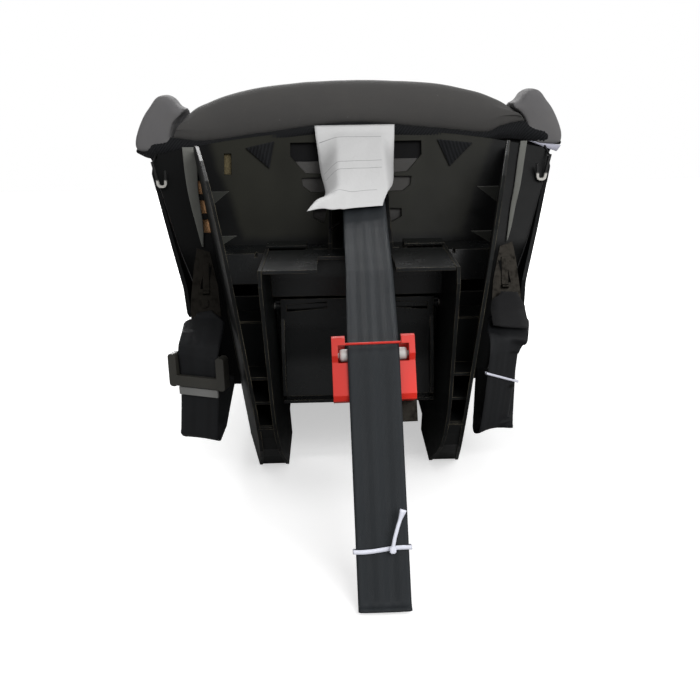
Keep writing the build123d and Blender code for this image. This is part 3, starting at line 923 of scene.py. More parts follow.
class Finishes:
    """The finishes of the seat."""

    # the liner foam painted darker: painted shade of the recess behind the pan's small window
    SHADED_FOAM = Foam("shaded_foam", linear(96, 86, 60), 0.9)
    SHELL = Moulded("shell_plastic", linear(13, 14, 15), 0.34, shine=0.1)
    PAN = PanPlastic("pan_plastic", linear(35, 35, 30), 0.4, shine=0.1, wear_and_highlight=linear(92, 86, 70))
    RIBS = Moulded("rib_plastic", linear(14, 15, 16), 0.34, shine=0.15, wear_and_highlight=linear(96, 88, 70), rim=0.8)
    BASE = Moulded("base_plastic", linear(16, 18, 19), 0.26, shine=0.3, wear_and_highlight=linear(104, 96, 78), rim=0.8)
    RAIL = Moulded("rail_plastic", linear(22, 23, 23), 0.42, shine=0.05, wear_and_highlight=linear(112, 106, 90), rim=1.0)
    TRIM = Moulded("trim_plastic", linear(52, 51, 47), 0.38, edge=0.0006, shine=0.3)
    RED = Moulded("red_plastic", linear(219, 39, 24), 0.38, edge=0.0008, shine=0.4,
                  wear_and_highlight=linear(226, 110, 90), rim=0.5)
    PALE = Moulded("pale_plastic", linear(214, 213, 210), 0.34, edge=0.0005, shine=0.4,
                   wear_and_highlight=linear(180, 178, 174))
    GREY = Moulded("grey_plastic", linear(112, 112, 110), 0.4, edge=0.0005, shine=0.4)
    TIE = Moulded("tie_nylon", linear(236, 238, 250), 0.4, edge=0.0002, shine=0.4,
                  wear_and_highlight=linear(190, 192, 210))
    BRONZE = Metal("bronzed_steel", linear(36, 34, 31), 0.46)
    STEEL = Metal("bright_steel", linear(190, 188, 184), 0.36)
    SATIN = Metal("satin_steel", linear(196, 192, 186), 0.42)
    COVER = Woven("cover_cloth", linear(74, 73, 72), 0.86, lint=0.045, nap=linear(84, 82, 79))
    # the cover cloth painted lighter for the ears: painted light falling on them from the side
    LIT_EAR_CLOTH = Woven("ear_cloth_painted_light", linear(104, 103, 104), 0.86, nap=linear(112, 110, 108))
    LINING = Woven("lining_cloth", linear(190, 190, 204), 0.84, pitch=0.0013, nap=(0.42, 0.42, 0.5))
    SLEEVE = Woven("sleeve_cloth", linear(30, 30, 31), 0.8, pitch=0.0012, nap=linear(36, 36, 38))
    BINDING = Twill("binding_tape", linear(24, 25, 27), 0.74, pitch=0.0032)
    WEB = Webbing("wide_webbing", linear(35, 38, 41), 0.56)
    NARROW = Webbing("harness_webbing", linear(45, 47, 51), 0.56, width=0.025, bands=3)
    ELASTIC = Twill("elastic_tape", linear(226, 227, 240), 0.6, pitch=0.0009, depth=0.00015, slant=0.0)
    FOAM = Foam("liner_foam", linear(204, 156, 112), 0.9)
    TAG = Ruled("label_cloth", linear(212, 212, 212), 0.7)
    UNDER = Woven("under_cloth", linear(20, 20, 21), 0.85, nap=linear(26, 26, 27))
    TUCK = Woven("tuck_cloth", linear(110, 111, 107), 0.8, pitch=0.0013, nap=linear(84, 82, 72))
    SLACK = Webbing("anchor_webbing", linear(21, 22, 24), 0.6)
    # fins painted lighter grey with pale rims: painted highlights of the shiny gussets
    FINS = Moulded("fin_plastic", linear(56, 57, 54), 0.3, shine=0.5, wear_and_highlight=linear(150, 150, 142), rim=0.8)
    HOOKS = TippedPlastic("hook_plastic", linear(206, 204, 198), 0.36, shine=0.35)


def dress(piece: bpy.types.Object, finish: Finish) -> bpy.types.Object:
    """Gives a piece one finish.

    Args:
        piece: The piece.
        finish: Its finish.

    Returns:
        The piece.
    """
    piece.data.materials.clear()
    piece.data.materials.append(finish.material())
    return piece


def keep(piece: bpy.types.Object, finish: Finish, slot: Slot, *nodes: str,
         fill: float | None = None) -> bpy.types.Object:
    """Dresses a piece, rides it on the seat and hides the CAD nodes that it replaces.

    Args:
        piece: The piece.
        finish: Its finish.
        slot: The record's material slot; not used.
        nodes: CAD nodes that it replaces.
        fill: How tightly a padded piece is stuffed; not used.

    Returns:
        The piece.
    """
    dress(piece, finish)
    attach(piece, SEAT)
    if nodes:
        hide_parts(*nodes)
    log.info("%s: %d faces", piece.name, len(piece.data.polygons))
    return piece


def dress_nodes(finish: Finish, names: Sequence[str], frame: dict) -> None:
    """Gives CAD nodes a finish, in their own material slots.

    Args:
        finish: The finish.
        names: Names of the nodes.
    """
    for name in names:
        for place in frame["nodes"][name].material_slots:
            place.material = finish.material()


# ---------------------------------------------------------------- webbing

@dataclass
class Ribbon:
    """Flat strap: a width and thickness swept along a path, with grooves between its woven bands."""

    width: float = 0.038
    thickness: float = 0.0014
    bands: int = 5
    wave: float = 0.0004
    cup: float = 0.0
    seed: float = 0.0
    gathered: float = 1.0
    gather_length: float = 0.014

    def profile(self) -> list[tuple[float, float]]:
        """Places across and heights of one cross-section, round the strap."""
        half, count = self.width / 2, 4 * self.bands + 1
        top = []
        for a in spread(-half, half, count):
            groove = 0.04 * abs(math.cos(math.pi * self.bands * (a + half) / self.width)) ** 4
            edge = math.sqrt(max(0.0, 1 - max(0.0, abs(a) / half - 0.965) ** 2 / 0.035**2))
            top.append((a, self.thickness / 2 * (edge * 0.8 + 0.2 - groove)))
        return top + [(a, -b) for a, b in reversed(top)]

    def build(self, name: str, path: Sequence[Vector],
              across: Callable[[float], Vector]) -> bpy.types.Object:
        """Sweeps the strap.

        Args:
            name: Name of the piece.
            path: Points of its middle line, in metres.
            across: Direction across the strap at a share of the path from 0 to 1.

        Returns:
            The strap.
        """
        profile, vertices, uvs, along = self.profile(), [], [], 0.0
        for i, point in enumerate(path):
            ahead = heading(path, i)
            side = square_to(across(i / (len(path) - 1)), ahead)
            up = side.cross(ahead)
            along += (point - path[max(i - 1, 0)]).length
            swing = 1 - ease(along / self.gather_length) if self.gathered < 1 else 0.0
            share = 1 - (1 - self.gathered) * swing
            for a, b in profile:
                a = a * share
                lift = self.wave * ripple(point + side * a * 0.4, 0.045, self.seed)
                lift += (self.cup - 0.003 * (1 - share)) * (2 * a / self.width) ** 2
                vertices.append(point + side * a + up * (b + lift))
                uvs.append((a + self.width / 2, along))
        count, faces = len(profile), []
        for i in range(len(path) - 1):
            for j in range(count):
                k = (j + 1) % count
                faces.append((i * count + j, i * count + k, (i + 1) * count + k, (i + 1) * count + j))
        last = (len(path) - 1) * count
        half = count // 2
        for j in range(half - 1):
            faces.append((j, count - 1 - j, count - 2 - j, j + 1))
            faces.append((last + j, last + j + 1, last + count - 2 - j, last + count - 1 - j))
        return make_mesh(name, vertices, faces, uvs)


def band_round(name: str, outline: Sequence[tuple[float, float]], count: int, half: tuple[float, float],
               shift: Callable[[float], float], spot: Callable[[float, float, float], Vector]
               ) -> bpy.types.Object:
    """Thin flat band that closes on itself round a strap.

    Args:
        name: Name of the piece.
        outline: Corners of the loop's middle line, as two numbers in millimetres.
        count: Number of sections.
        half: Half the band's width and half its thickness.
        shift: Gives how far the band slips along the strap at the loop's first number.
        spot: Gives the frame's point from the loop's two numbers and the place along the strap.

    Returns:
        The band.
    """
    wide, thick = half
    centre, rings = loop_through(outline, count), []
    for i, (a, b) in enumerate(centre):
        before, after = centre[i - 1], centre[(i + 1) % count]
        out = Vector((before[1] - after[1], after[0] - before[0])).normalized() * thick
        rings.append([spot(a + out.x * h, b + out.y * h, shift(a) + w) for w, h in (
            (-wide, -1), (wide, -1), (wide, 1), (-wide, 1))])
    rings.append(rings[0])
    return loft(name, rings, capped=False)


def turning(start: Vector, end: Vector, begin: float, finish: float) -> Callable[[float], Vector]:
    """Direction that turns from start to end between two shares of a path."""
    return lambda t: start.lerp(end, ease((t - begin) / (finish - begin))).normalized()


# ---------------------------------------------------------------- cover

@dataclass
class FrontRoll:
    """Padded roll over the seat's front edge, in seat millimetres, and the tape sewn under it."""

    half: float = 178
    lean: float = -1.5
    taper: float = 14
    crest: tuple = ((-181, 323), (-176, 326), (-164, 332), (-150, 336.8), (-130, 343), (-80, 352.2),
                    (0, 356), (80, 352.2), (130, 343.4), (150, 337.4), (164, 332.5), (176, 327), (181, 324))
    seam: tuple = ((-222, 299), (-181, 301.6), (-150, 298.3), (-92, 305), (0, 314), (88, 306.8),
                   (137, 302), (152, 307.7), (174, 312), (187, 308), (207, 303.5), (222, 301))
    hem: tuple = ((-222, 291), (-215, 287.5), (-207, 284.8), (-193, 284), (-178, 286.5), (-162, 288),
                  (-147, 289), (-120, 292), (-92, 292), (-60, 299.3), (-32, 303.6),
                  (0, 304.5), (48, 298.6), (88, 295), (118, 289), (147, 296.8), (170, 296.5),
                  (205, 291), (222, 289))
    flaps: tuple = (((-106, 293), (-93.5, 296), (-77, 299), (-82.5, 273.5)),
                    ((122, 294), (98.5, 297), (86.5, 298), (98, 272.5)))
    rings: int = 140
    around: int = 88

    def end_at(self, height: float) -> float:
        """Half width of the roll at a share of its height."""
        return self.half - self.taper * max(height, 0.0) ** 1.5

    def section(self, s: float) -> list[Vector]:
        """One closed section of the roll, from -1 at its left end to 1.

        Args:
            s: Place along the roll, from -1 to 1.

        Returns:
            Points in seat millimetres.
        """
        x = self.lean + s * self.half
        low, top = through(self.seam, x), through(self.crest, x)
        tall = top - low
        outline = [(223, low), (218.6, low + 3), (216.4, low + 10), (216, low + 0.42 * tall),
                   (217.4, low + 0.64 * tall), (221.5, top - 7), (229, top - 1.6), (237.5, top - 0.2),
                   (245, top - 0.9), (247.5, top - 2.1), (250, top - 0.8), (255, top - 0.6),
                   (261, top - 4), (262, top - 12), (261, low + 9), (256, low + 1.5), (240, low - 1),
                   (228, low - 1.4)]
        ring = []
        for y, z in loop_through(outline, self.around):
            height = (z - low) / tall
            across = self.lean + s * (self.half - (self.half - self.end_at(height)) * abs(s) ** 4)
            ring.append(Vector((across, y, z)))
        return ring

    def build_roll(self) -> bpy.types.Object:
        """The roll, pulled in at its ends and puckered along its lower seam."""
        shares = [math.sin(a * math.pi / 2) for a in spread(-1, 1, self.rings)]
        rings = []
        for s in shares:
            ring = self.section(s)
            middle = sum(ring, Vector()) / len(ring)
            pull = 0.04 * max(0.0, (abs(s) - 0.99) / 0.01) ** 2
            rings.append([at(*p.lerp(middle, pull)) for p in ring])
        piece = loft("front_roll", rings)
        piece.data.update()
        move_points(piece, self.pucker)
        return piece

    def pucker(self, point: Vector, normal: Vector) -> Vector:
        """Step of one point of the roll: short folds over the seam, soft dents elsewhere.

        Args:
            point: Place of the point, in metres.
            normal: Its normal.

        Returns:
            The step, in metres.
        """
        x, z = point.x / MM, point.z / MM
        near_seam = math.exp(-((z - through(self.seam, x) - 3) / 6) ** 2)
        folds = math.sin(x * 0.62 + 3 * ripple(point, 0.06, 3)) * (0.5 + 0.5 * ripple(point, 0.03, 8))
        dents = 0.7 * ripple(point, 0.05, 1) + 0.35 * ripple(point, 0.018, 5)
        return normal * (folds * 0.35 * near_seam + dents * 0.8) * MM

    def build_tape(self) -> bpy.types.Object:
        """Gathered tape along the seam, under the roll and both ears."""
        rings = []
        for x in spread(-218.5, 215.5, 330):
            high, low = through(self.seam, x) + 1.6, through(self.hem, x)
            back = 10 * ease((abs(x - self.lean) - 196) / 22)
            gather = 0.3 * math.sin(x * 1.9 + 2.5 * ripple(Vector((x, 0, 0)) * MM, 0.02, 4))
            belly = 1.6 + gather
            closing = 0.3 + 0.7 * ease(min(x + 218.5, 215.5 - x) / 9)
            high = low + (high - low) * closing
            third = (high - low) / 3
            outline = [(219.2, high), (217.2 - belly, high - third), (216.6 - belly, low + third),
                       (217.6 - gather, low), (219.4, low - 0.6), (221, low + 1.2), (221, (high + low) / 2),
                       (222, high)]
            rings.append([at(x, y + back, z) for y, z in loop_through(outline, 26)])
        return loft("front_tape", rings)

    def build_flap(self, name: str, corners: Sequence[tuple[float, float]]) -> bpy.types.Object:
        """Creased triangle of the tape's cloth that reaches down to the pan.

        Args:
            name: Name of the piece.
            corners: Outer top, top of the crease, inner top and tip, as X and Z.

        Returns:
            The flap.
        """
        outer, crease, inner, tip = (Vector((x, 0, z)) for x, z in corners)
        rings = []
        for t in spread(0, 1, 12):
            fall = t**1.15
            ring = []
            for depth in (0.5, -0.5):
                across = spread(0, 1, 17)
                for u in across if depth > 0 else reversed(across):
                    top = outer.lerp(crease, 2 * u) if u < 0.5 else crease.lerp(inner, 2 * u - 1)
                    p = top.lerp(tip, fall)
                    fold = 4.5 * (1 - abs(2 * u - 1)) * (1 - fall)
                    ring.append(at(p.x, beside_pan(p.z, -3.8) - fold - depth, p.z))
            rings.append(ring)
        return loft(name, rings)


def thin_sheet(name: str, top: Sequence[Point], bottom: Sequence[Point], thick: float) -> bpy.types.Object:
    """Thin cloth between an upper and a lower edge.

    Args:
        name: Name of the piece.
        top: Points of the upper edge in seat millimetres.
        bottom: As many points of the lower edge.
        thick: Thickness in millimetres, along Y.

    Returns:
        The cloth.
    """
    rings = []
    for t in spread(0, 1, 10):
        sag = math.sin(math.pi * t)
        front = [Vector(a).lerp(Vector(b), t) for a, b in zip(top, bottom)]
        front = [p + Vector((0, -sag * 0.8 - 0.6 * ripple(p, 9, 3), 0)) for p in front]
        back = [p + Vector((0, thick, 0)) for p in reversed(front)]
        rings.append([at(*p) for p in front + back])
    return loft(name, rings)


@dataclass
class Ear:
    """Padded front end of a side bolster, in seat millimetres."""

    outline: tuple = ((182.5, 296), (181, 306), (178.5, 316), (173, 323.5), (164, 331), (168.5, 332.2),
                      (173.5, 335.8), (177.5, 342), (184, 345), (192.5, 342.5), (199, 334.5), (206, 325.5),
                      (213, 312), (217, 299), (214, 291), (196, 291))
    slices: tuple = ((216.6, 0.84, 1), (217.6, 0.92, 1), (220, 0.97, 1), (225, 1, 1), (243, 1.0, 1),
                     (258, 1.0, 0.97), (270, 0.98, 0.84), (282, 0.96, 0.62), (291, 0.9, 0.5),
                     (297, 0.8, 0.45), (298, 0.6, 0.4))
    base: float = 291
    hinge: tuple = (177, 300)

    def build(self, side: int, lean: float) -> bpy.types.Object:
        """One ear, soft-filled.

        Args:
            side: -1 for left, 1 for right.
            lean: Shift of the cover across the seat.

        Returns:
            The ear.
        """
        name = "ear_left" if side < 0 else "ear_right"
        loop = loop_through(self.outline, 64)
        mid_x, mid_z = self.hinge
        rings = []
        for y, size, tall in self.slices:
            ring = []
            for x, z in loop:
                x, z = mid_x + (x - mid_x) * size, mid_z + (z - mid_z) * size
                ring.append(at(side * x + lean, y, self.base + (z - self.base) * tall))
            rings.append(ring)
        piece = loft(name, rings)
        Stuffing(voxel=0.0024, pressure=2.5, travel=0.0008).fill(piece)
        map_cloth(piece, lambda p: (p.x + 0.4 * p.y, p.z + p.y))
        return piece


@dataclass
class Cover:
    """Everything of padded cloth: front roll, ears, wing edges, bolsters and cushions."""

    roll: FrontRoll = field(default_factory=FrontRoll)
    ear: Ear = field(default_factory=Ear)
    edge_line: tuple = ((299, 286.5), (318, 277), (338, 266), (366, 240), (395, 217), (430, 207),
                        (471, 203), (515, 205.5), (560, 209), (600, 210.5), (636, 211))
    tucks: dict = field(default_factory=lambda: {
        "left": (((202, 150), (222, 155.3), (238, 159.6), (255, 163.5), (274, 166.3), (295, 168.4)),
                 ((202, 148.4), (222, 149), (238, 151.4), (255, 154), (274, 154.6), (295, 155))),
        "right": (((202, 152.5), (214, 156.7), (235, 162.2), (253, 167.6), (277, 172.8), (295, 176.6)),
                  ((202, 151.5), (214, 153.7), (235, 157.7), (253, 162.1), (277, 166.8), (295, 170.6)))})
    tuck_span: tuple = (202, 295)
    strip: tuple = ((181, 204), (206.6, 262))
    strip_x: float = 150
    patch: tuple = (-124.2, 5.6, 267, 289)
    wall_line: tuple = ((56, 136), (100, 146), (166, 164), (270, 199), (345, 212))
    fold: tuple = (((177, 219, 297), (190, 219, 294), (203, 219.5, 291), (215, 223, 289)),
                   ((179, 219.5, 294.6), (190, 219.5, 290.4), (199, 220, 286.9), (211, 223.5, 282.8)))

    def build(self) -> None:
        """Makes and dresses every piece of the cover."""
        self.build_front()
        for side_name, side in SIDES.items():
            self.build_edge(side_name, side)
        self.build_cushions()
        self.build_inner_trim()

    def build_front(self) -> None:
        """Roll, tape and ears."""
        keep(self.roll.build_roll(), Finishes.COVER, Slot.COVER, "cover_lip", fill=0.8)
        keep(self.roll.build_tape(), Finishes.BINDING, Slot.COVER)
        for side_name, corners in zip(SIDES, self.roll.flaps):
            keep(self.roll.build_flap(f"tape_flap_{side_name}", corners), Finishes.BINDING, Slot.COVER)
        for side_name, side in SIDES.items():
            ear = self.ear.build(side, self.roll.lean)
            # the ears get the lighter copy of the cover cloth, painted light from the side
            keep(ear, Finishes.LIT_EAR_CLOTH, Slot.COVER, f"cover_ear_{side_name}", fill=0.7)
            top = [(side * x, 224, 300 - 0.2 * max(0, x - 189)) for x in spread(145, 209, 12)]
            bottom = [(side * x, 225, 273) for x in spread(145, 200.5, 12)]
            skirt = thin_sheet(f"cover_skirt_{side_name}", top, bottom, 1.2)
            keep(skirt, Finishes.UNDER, Slot.COVER)
        fold = thin_sheet("lining_fold", *self.fold, 1)
        keep(fold, Finishes.LINING, Slot.LINING)
        across = spread(-74, 82, 12)
        behind = thin_sheet("cover_under_roll", [(x, 222.6, 306) for x in across],
                            [(x, 210, 277.5) for x in across], 1)
        keep(behind, Finishes.UNDER, Slot.COVER)

    def build_edge(self, side_name: str, side: int) -> None:
        """Bound edge of the cover along the top of one wing.

        Args:
            side_name: left or right.
            side: -1 for left, 1 for right.
        """
        corners = []
        for y, z in self.edge_line:
            corners.append(at(side * (through(self.wall_line, z) - 1), y, z))
        path = rounded(corners, 0.03, 0.006)
        rings = []
        for i, point in enumerate(path):
            ahead = heading(path, i)
            up = square_to(Vector((side * 0.33, 0, 0.94)), ahead)
            out = ahead.cross(up)
            swell = 1 + 0.05 * ripple(point, 0.02, side)
            end = min(1.0, 0.35 + 0.65 * ease(min(i, len(path) - 1 - i) / 2))
            ring = []
            for a, b in loop_through([(-7, -4.6), (-7.4, 1), (-4, 4.4), (4, 4.4), (7.4, 1), (7, -4.6)], 20):
                ring.append(point + (out * a + up * b) * MM * swell * end)
            rings.append(ring)
        piece = loft(f"wing_edge_{side_name}", rings)
        keep(piece, Finishes.COVER, Slot.COVER, f"cover_edge_{side_name}", fill=0.4)

    def stuffed_node(self, node: str, name: str, stuffing: Stuffing, shrink: float) -> bpy.types.Object:
        """Padded copy of a plain CAD solid.

        Args:
            node: The CAD node.
            name: Name of the piece.
            stuffing: How it swells.
            shrink: How far its faces start inside the solid, in metres.

        Returns:
            The piece.
        """
        piece = add_object(name, bpy.data.objects[node].data.copy())
        edit = bmesh.new()
        edit.from_mesh(piece.data)
        bmesh.ops.remove_doubles(edit, verts=edit.verts, dist=1e-5)
        edit.normal_update()
        edit.to_mesh(piece.data)
        edit.free()
        remesh = piece.modifiers.new("even", "REMESH")
        remesh.mode = "VOXEL"
        remesh.voxel_size = stuffing.voxel
        apply_modifiers(piece)
        move_points(piece, lambda point, normal: normal * -shrink)
        stuffing.fill(piece)
        return piece

    def build_cushions(self) -> None:
        """Seat and back cushions and the side bolsters, with their sewn channels."""
        soft = Stuffing(voxel=0.006, pressure=4, travel=0.008)
        back = self.stuffed_node("back_cushion", "back_pad", soft, 0.003)
        move_points(back, lambda p, n: self.channel(p, n, [p.y - at(0, y, 0).y for y in (330, 400, 540)]))
        map_cloth(back, lambda p: (p.x, p.y))
        keep(back, Finishes.COVER, Slot.COVER, "back_cushion", fill=0.6)
        seat = self.stuffed_node("seat_cushion", "seat_pad", soft, 0.003)
        move_points(seat, lambda p, n: self.channel(p, n, [p.z - 0.150, p.z - 0.215]))
        map_cloth(seat, lambda p: (p.x, p.z))
        keep(seat, Finishes.COVER, Slot.COVER, "seat_cushion", fill=0.6)
        for kind, lines in (("torso", (300, 360)), ("head", (500, 565))):
            for side_name in SIDES:
                node = f"{kind}_bolster_{side_name}"
                piece = self.stuffed_node(node, f"{kind}_pad_{side_name}", soft, 0.003)
                move_points(piece, lambda p, n: self.channel(
                    p, n, [p.y - at(0, y, 0).y for y in lines]))
                map_cloth(piece, lambda p: (p.y, p.z + abs(p.x)))
                keep(piece, Finishes.LINING, Slot.LINING, node, fill=0.6)

    def channel(self, point: Vector, normal: Vector, distances: Sequence[float]) -> Vector:
        """Step that presses sewn channels into a pad, from the distances to their lines.

        Args:
            point: Place of the point, in metres.
            normal: Its normal.
            distances: Distances to the middle lines of the channels.

        Returns:
            The step, in metres.
        """
        deep = sum(math.exp(-((d / 0.004) ** 2)) for d in distances)
        dent = ripple(point, 0.04, 2) * 0.0007
        return normal * (dent - 0.0035 * min(deep, 1.0))

    def build_inner_trim(self) -> None:
        """Lining tucks beside the pan, the foam strip on its left and the foam behind its small window."""
        for side_name, side in SIDES.items():
            self.build_tuck(side_name, side)
            if side < 0:
                self.build_strip()
        self.build_patch()

    def build_tuck(self, side_name: str, side: int) -> None:
        """Fold of lining that is tucked in between the pan and one wing.

        Args:
            side_name: left or right.
            side: -1 for left, 1 for right.
        """
        low, high = self.tuck_span
        crowned = [(0, -1), (0.5, -1.5), (1, -1), (1, 1), (0.5, 1), (0, 1)]
        rings = []
        for z in spread(low, high, 30):
            outer, inner = (through(line, z) for line in self.tucks[side_name])
            y = beside_pan(z, -5.4)
            rings.append([at(side * (inner + (outer - inner) * a), y + b * 0.5, z)
                          for a, b in loop_through(crowned, 20)])
        nodes = ["cover_tucks"] if side > 0 else []
        keep(loft(f"lining_tuck_{side_name}", rings), Finishes.TUCK, Slot.LINING, *nodes)

    def build_strip(self) -> None:
        """Foam strip behind the windows down the left side of the pan."""
        (y0, z0), (y1, z1) = self.strip
        thick, half = 4, 11.6
        rings = []
        for t in spread(0, 1, 30):
            y, z = y0 + (y1 - y0) * t, z0 + (z1 - z0) * t
            wide = half + 0.6 * math.sin(40 * t - 1)
            rings.append([at(-self.strip_x - a * wide, y + b * thick * 0.915, z - b * thick * 0.4)
                          for a, b in loop_through(SQUARE, 16)])
        keep(loft("foam_strip", rings), Finishes.FOAM, Slot.FOAM, "foam_liners")

    def build_patch(self) -> None:
        """Foam behind the small window at the top left of the pan, painted darker than the strip's foam as
        painted shade.
        """
        x, half, low, high = self.patch
        rings = []
        for z in spread(low, high, 12):
            y = beside_pan(z, 2.9)
            rings.append([at(x + a * half, y + b * 0.6, z) for a, b in loop_through(SQUARE, 12)])
        keep(loft("foam_patch", rings), Finishes.SHADED_FOAM, Slot.FOAM)


@dataclass
class SewnTag:
    """Plain label sheet sewn into the roll's lower seam and draped over the strap, in seat millimetres."""

    wide: float = 79
    tall: float = 148
    thick: float = 0.35
    left: tuple = ((0, -36.5), (9, -35.5), (27, -33.1), (59, -30.3), (82, -27.6), (95.5, -26.7),
                   (108, -28.4), (120, -31.4), (135, -36), (148, -42.5))
    right: tuple = ((0, 43.6), (39, 40.6), (88, 37), (113.6, 32), (137, 26.1), (148, 24))

    def surface(self, a: float, b: float) -> Vector:
        """Point at shares a across and b down the sheet, both from 0 to 1.

        Args:
            a: Share of the width, from the left.
            b: Share of the height, from the seam.

        Returns:
            Point in seat millimetres.
        """
        drop = b * self.tall * (1 - 0.07 * a * b)
        low, high = through(self.left, b * self.tall), through(self.right, b * self.tall)
        x = low + (high - low) * (a + 0.04 * math.sin(2 * math.pi * a))
        past_left, past_right = max(0.0, -13 - x), max(0.0, x - 29)
        droop = 1.3 * past_left**2 / (past_left + 5) + 1.8 * past_right**2 / (past_right + 4)
        corner = ease((b - 0.62) / 0.38) * ease((0.5 - a) / 0.5)
        lift = 2 - droop * ease(drop / 45) * (1 - 0.8 * corner) + 15 * corner
        lift += 0.9 * noise.noise(Vector((a * 3, b * 4, 1.7))) * min(1.0, 6 * b)
        hang = drop + 10 * ease((b - 0.85) / 0.15) * ease((0.22 - a) / 0.22)
        start = 4 * (1 - ease(drop / 8))
        y, z = 213.6 - hang * 0.906, 307.6 - hang * 0.423 + start
        return Vector((x, y - 0.42 * lift, z + 0.906 * lift))

    def build(self) -> bpy.types.Object:
        """The sheet, curled at its lower left corner."""
        columns, rows = 36, 64
        front = [[self.surface(a, b) for a in spread(0, 1, columns)] for b in spread(0, 1, rows)]
        vertices, uvs, faces = [], [], []
        for layer in (0, 1):
            for i, row in enumerate(front):
                for j, p in enumerate(row):
                    depth = Vector((0, 0.42, -0.906)) * self.thick * layer
                    vertices.append(at(*(p + depth)))
                    uvs.append((j / (columns - 1) * self.wide * MM, i / (rows - 1) * self.tall * MM))
        size = columns * rows
        for i in range(rows - 1):
            for j in range(columns - 1):
                a = i * columns + j
                faces.append((a, a + 1, a + columns + 1, a + columns))
                faces.append((size + a, size + a + columns, size + a + columns + 1, size + a + 1))
        rim = [i * columns for i in range(rows)] + [(rows - 1) * columns + j for j in range(1, columns)]
        rim += [i * columns + columns - 1 for i in range(rows - 2, -1, -1)]
        rim += list(range(columns - 2, 0, -1))
        for a, b in zip(rim, rim[1:] + rim[:1]):
            faces.append((a, b, size + b, size + a))
        piece = make_mesh("label_sheet", vertices, faces, uvs)
        keep(piece, Finishes.TAG, Slot.PAPER, "sewn_tag")
        return piece


# ---------------------------------------------------------------- harness and adjuster

@dataclass
class Adjuster:
    """Long adjuster strap with its folded end and its tie; the red housing and bar stay CAD nodes."""

    strap_x: float = 8.0
    lift: float = 0.0006  # lowest height of a strap's middle line, in metres
    tail_length: float = 182
    on_floor: float = 6.5
    tie_at: float = -140.5

    def strap_line(self) -> list[Vector]:
        """Middle line of the strap: splitter, pan, guide rod, well, bar and tail."""
        place = adjuster_place()
        upper = [at(self.strap_x, y, z) for y, z in ((336, 50), (151, 50), (157, 206), (204, 299))]
        upper += [at(self.strap_x, 65, 235), at(8, 5.5, 210.4)]
        local = [(0, 2.24, 6.4), (0, -60, 6.6), (0, -110, 6.3), (0, -self.tail_length + 2.5, 6.2)]
        down = [place @ Vector(p) for p in local]
        return upper + down + [down[-1] + Vector((0, -self.on_floor, -0.7)) * MM]

    def build_strap(self) -> bpy.types.Object:
        """The strap in one run from the splitter to the end of the tail."""
        path = rounded(self.strap_line(), 0.006, 0.004)
        lower = (adjuster_place().to_3x3() @ ACROSS).normalized()
        ribbon = Ribbon(WIDE, wave=0.0005, cup=-0.0003, seed=2)
        path = [p for p in path if p.z > self.lift]
        piece = ribbon.build("adjuster_webbing", path, turning(ACROSS, lower, 0.6, 0.75))
        return keep(piece, Finishes.WEB, Slot.WEBBING, "adjuster_strap", "adjuster_tail")

    def build_fold(self) -> bpy.types.Object:
        """The tail's folded end behind its front layer."""
        place = adjuster_place()
        line = [place @ Vector((0, y, z)) for y, z in ((-94, 4.1), (-120, 3.7), (-150, 3.9), (-179, 4.0))]
        across = (place.to_3x3() @ ACROSS).normalized()
        ribbon = Ribbon(WIDE - 0.0004, wave=0.0003, seed=6)
        path = [p for p in rounded(line, 0.05) if p.z > self.lift]
        piece = ribbon.build("adjuster_webbing_fold", path, lambda t: across)
        return keep(piece, Finishes.WEB, Slot.WEBBING)

    def build_tie(self) -> bpy.types.Object:
        """Nylon tie: a band round the tail, its head and its end standing up."""
        place = adjuster_place()
        half = 20.3
        loop = [(-half, 2.0), (-half, 8.0), (-half + 1.4, 8.8), (0, 8.6), (half - 1.4, 8.8), (half, 8.0),
                (half, 2.0), (half - 1.4, 1.2), (0, 1.4), (-half + 1.4, 1.2)]
        band = band_round("tie_band", loop, 60, (1.5, 0.55), lambda x: 1.1 * math.sin(x / 9),
                          lambda x, z, along: place @ Vector((x, self.tie_at + along, z)))
        keep(band, Finishes.TIE, Slot.PALE, "tail_tie")
        self.block("tie_head", (7.2, self.tie_at, 11.2), (4.4, 5.2, 4))
        line = [Vector(p) for p in ((7, self.tie_at, 12), (8.6, self.tie_at + 8, 13.4),
                                    (11.4, self.tie_at + 17, 15), (15.4, self.tie_at + 28, 17.2))]
        path = rounded([place @ p for p in line], 0.03, 0.002)
        rings = []
        for i, point in enumerate(path):
            ahead = heading(path, i)
            side = square_to(Vector((0.94, 0.1, -0.34)), ahead)
            up = side.cross(ahead)
            grow = 1.0 if i < len(path) - 5 else 1.0 + 0.22 * (i - len(path) + 5)
            rings.append([point + (side * a + up * b) * grow for a, b in (
                (-0.0012, -0.0006), (0.0012, -0.0006), (0.0012, 0.0006), (-0.0012, 0.0006))])
        end = loft("tie_end", rings)
        end.parent = band
        dress(end, Finishes.TIE)
        return band

    def block(self, name: str, middle: Point, size: Point) -> bpy.types.Object:
        """Small bevelled block in the adjuster's own place.

        Args:
            name: Name of the piece.
            middle: Its middle, in millimetres.
            size: Its three sides, in millimetres.

        Returns:
            The block.
        """
        place = adjuster_place()
        edit = bmesh.new()
        bmesh.ops.create_cube(edit, size=1)
        for v in edit.verts:
            v.co = place @ Vector(m + c * length for m, c, length in zip(middle, v.co, size))
        bmesh.ops.bevel(edit, geom=edit.edges[:], offset=0.0007, segments=2, affect="EDGES")
        mesh = bpy.data.meshes.new(name)
        edit.to_mesh(mesh)
        edit.free()
        return keep(add_object(name, mesh), Finishes.TIE, Slot.PALE)

    def build(self) -> None:
        """Makes the strap and its tie."""
        self.build_strap()
        self.build_fold()
        self.build_tie()


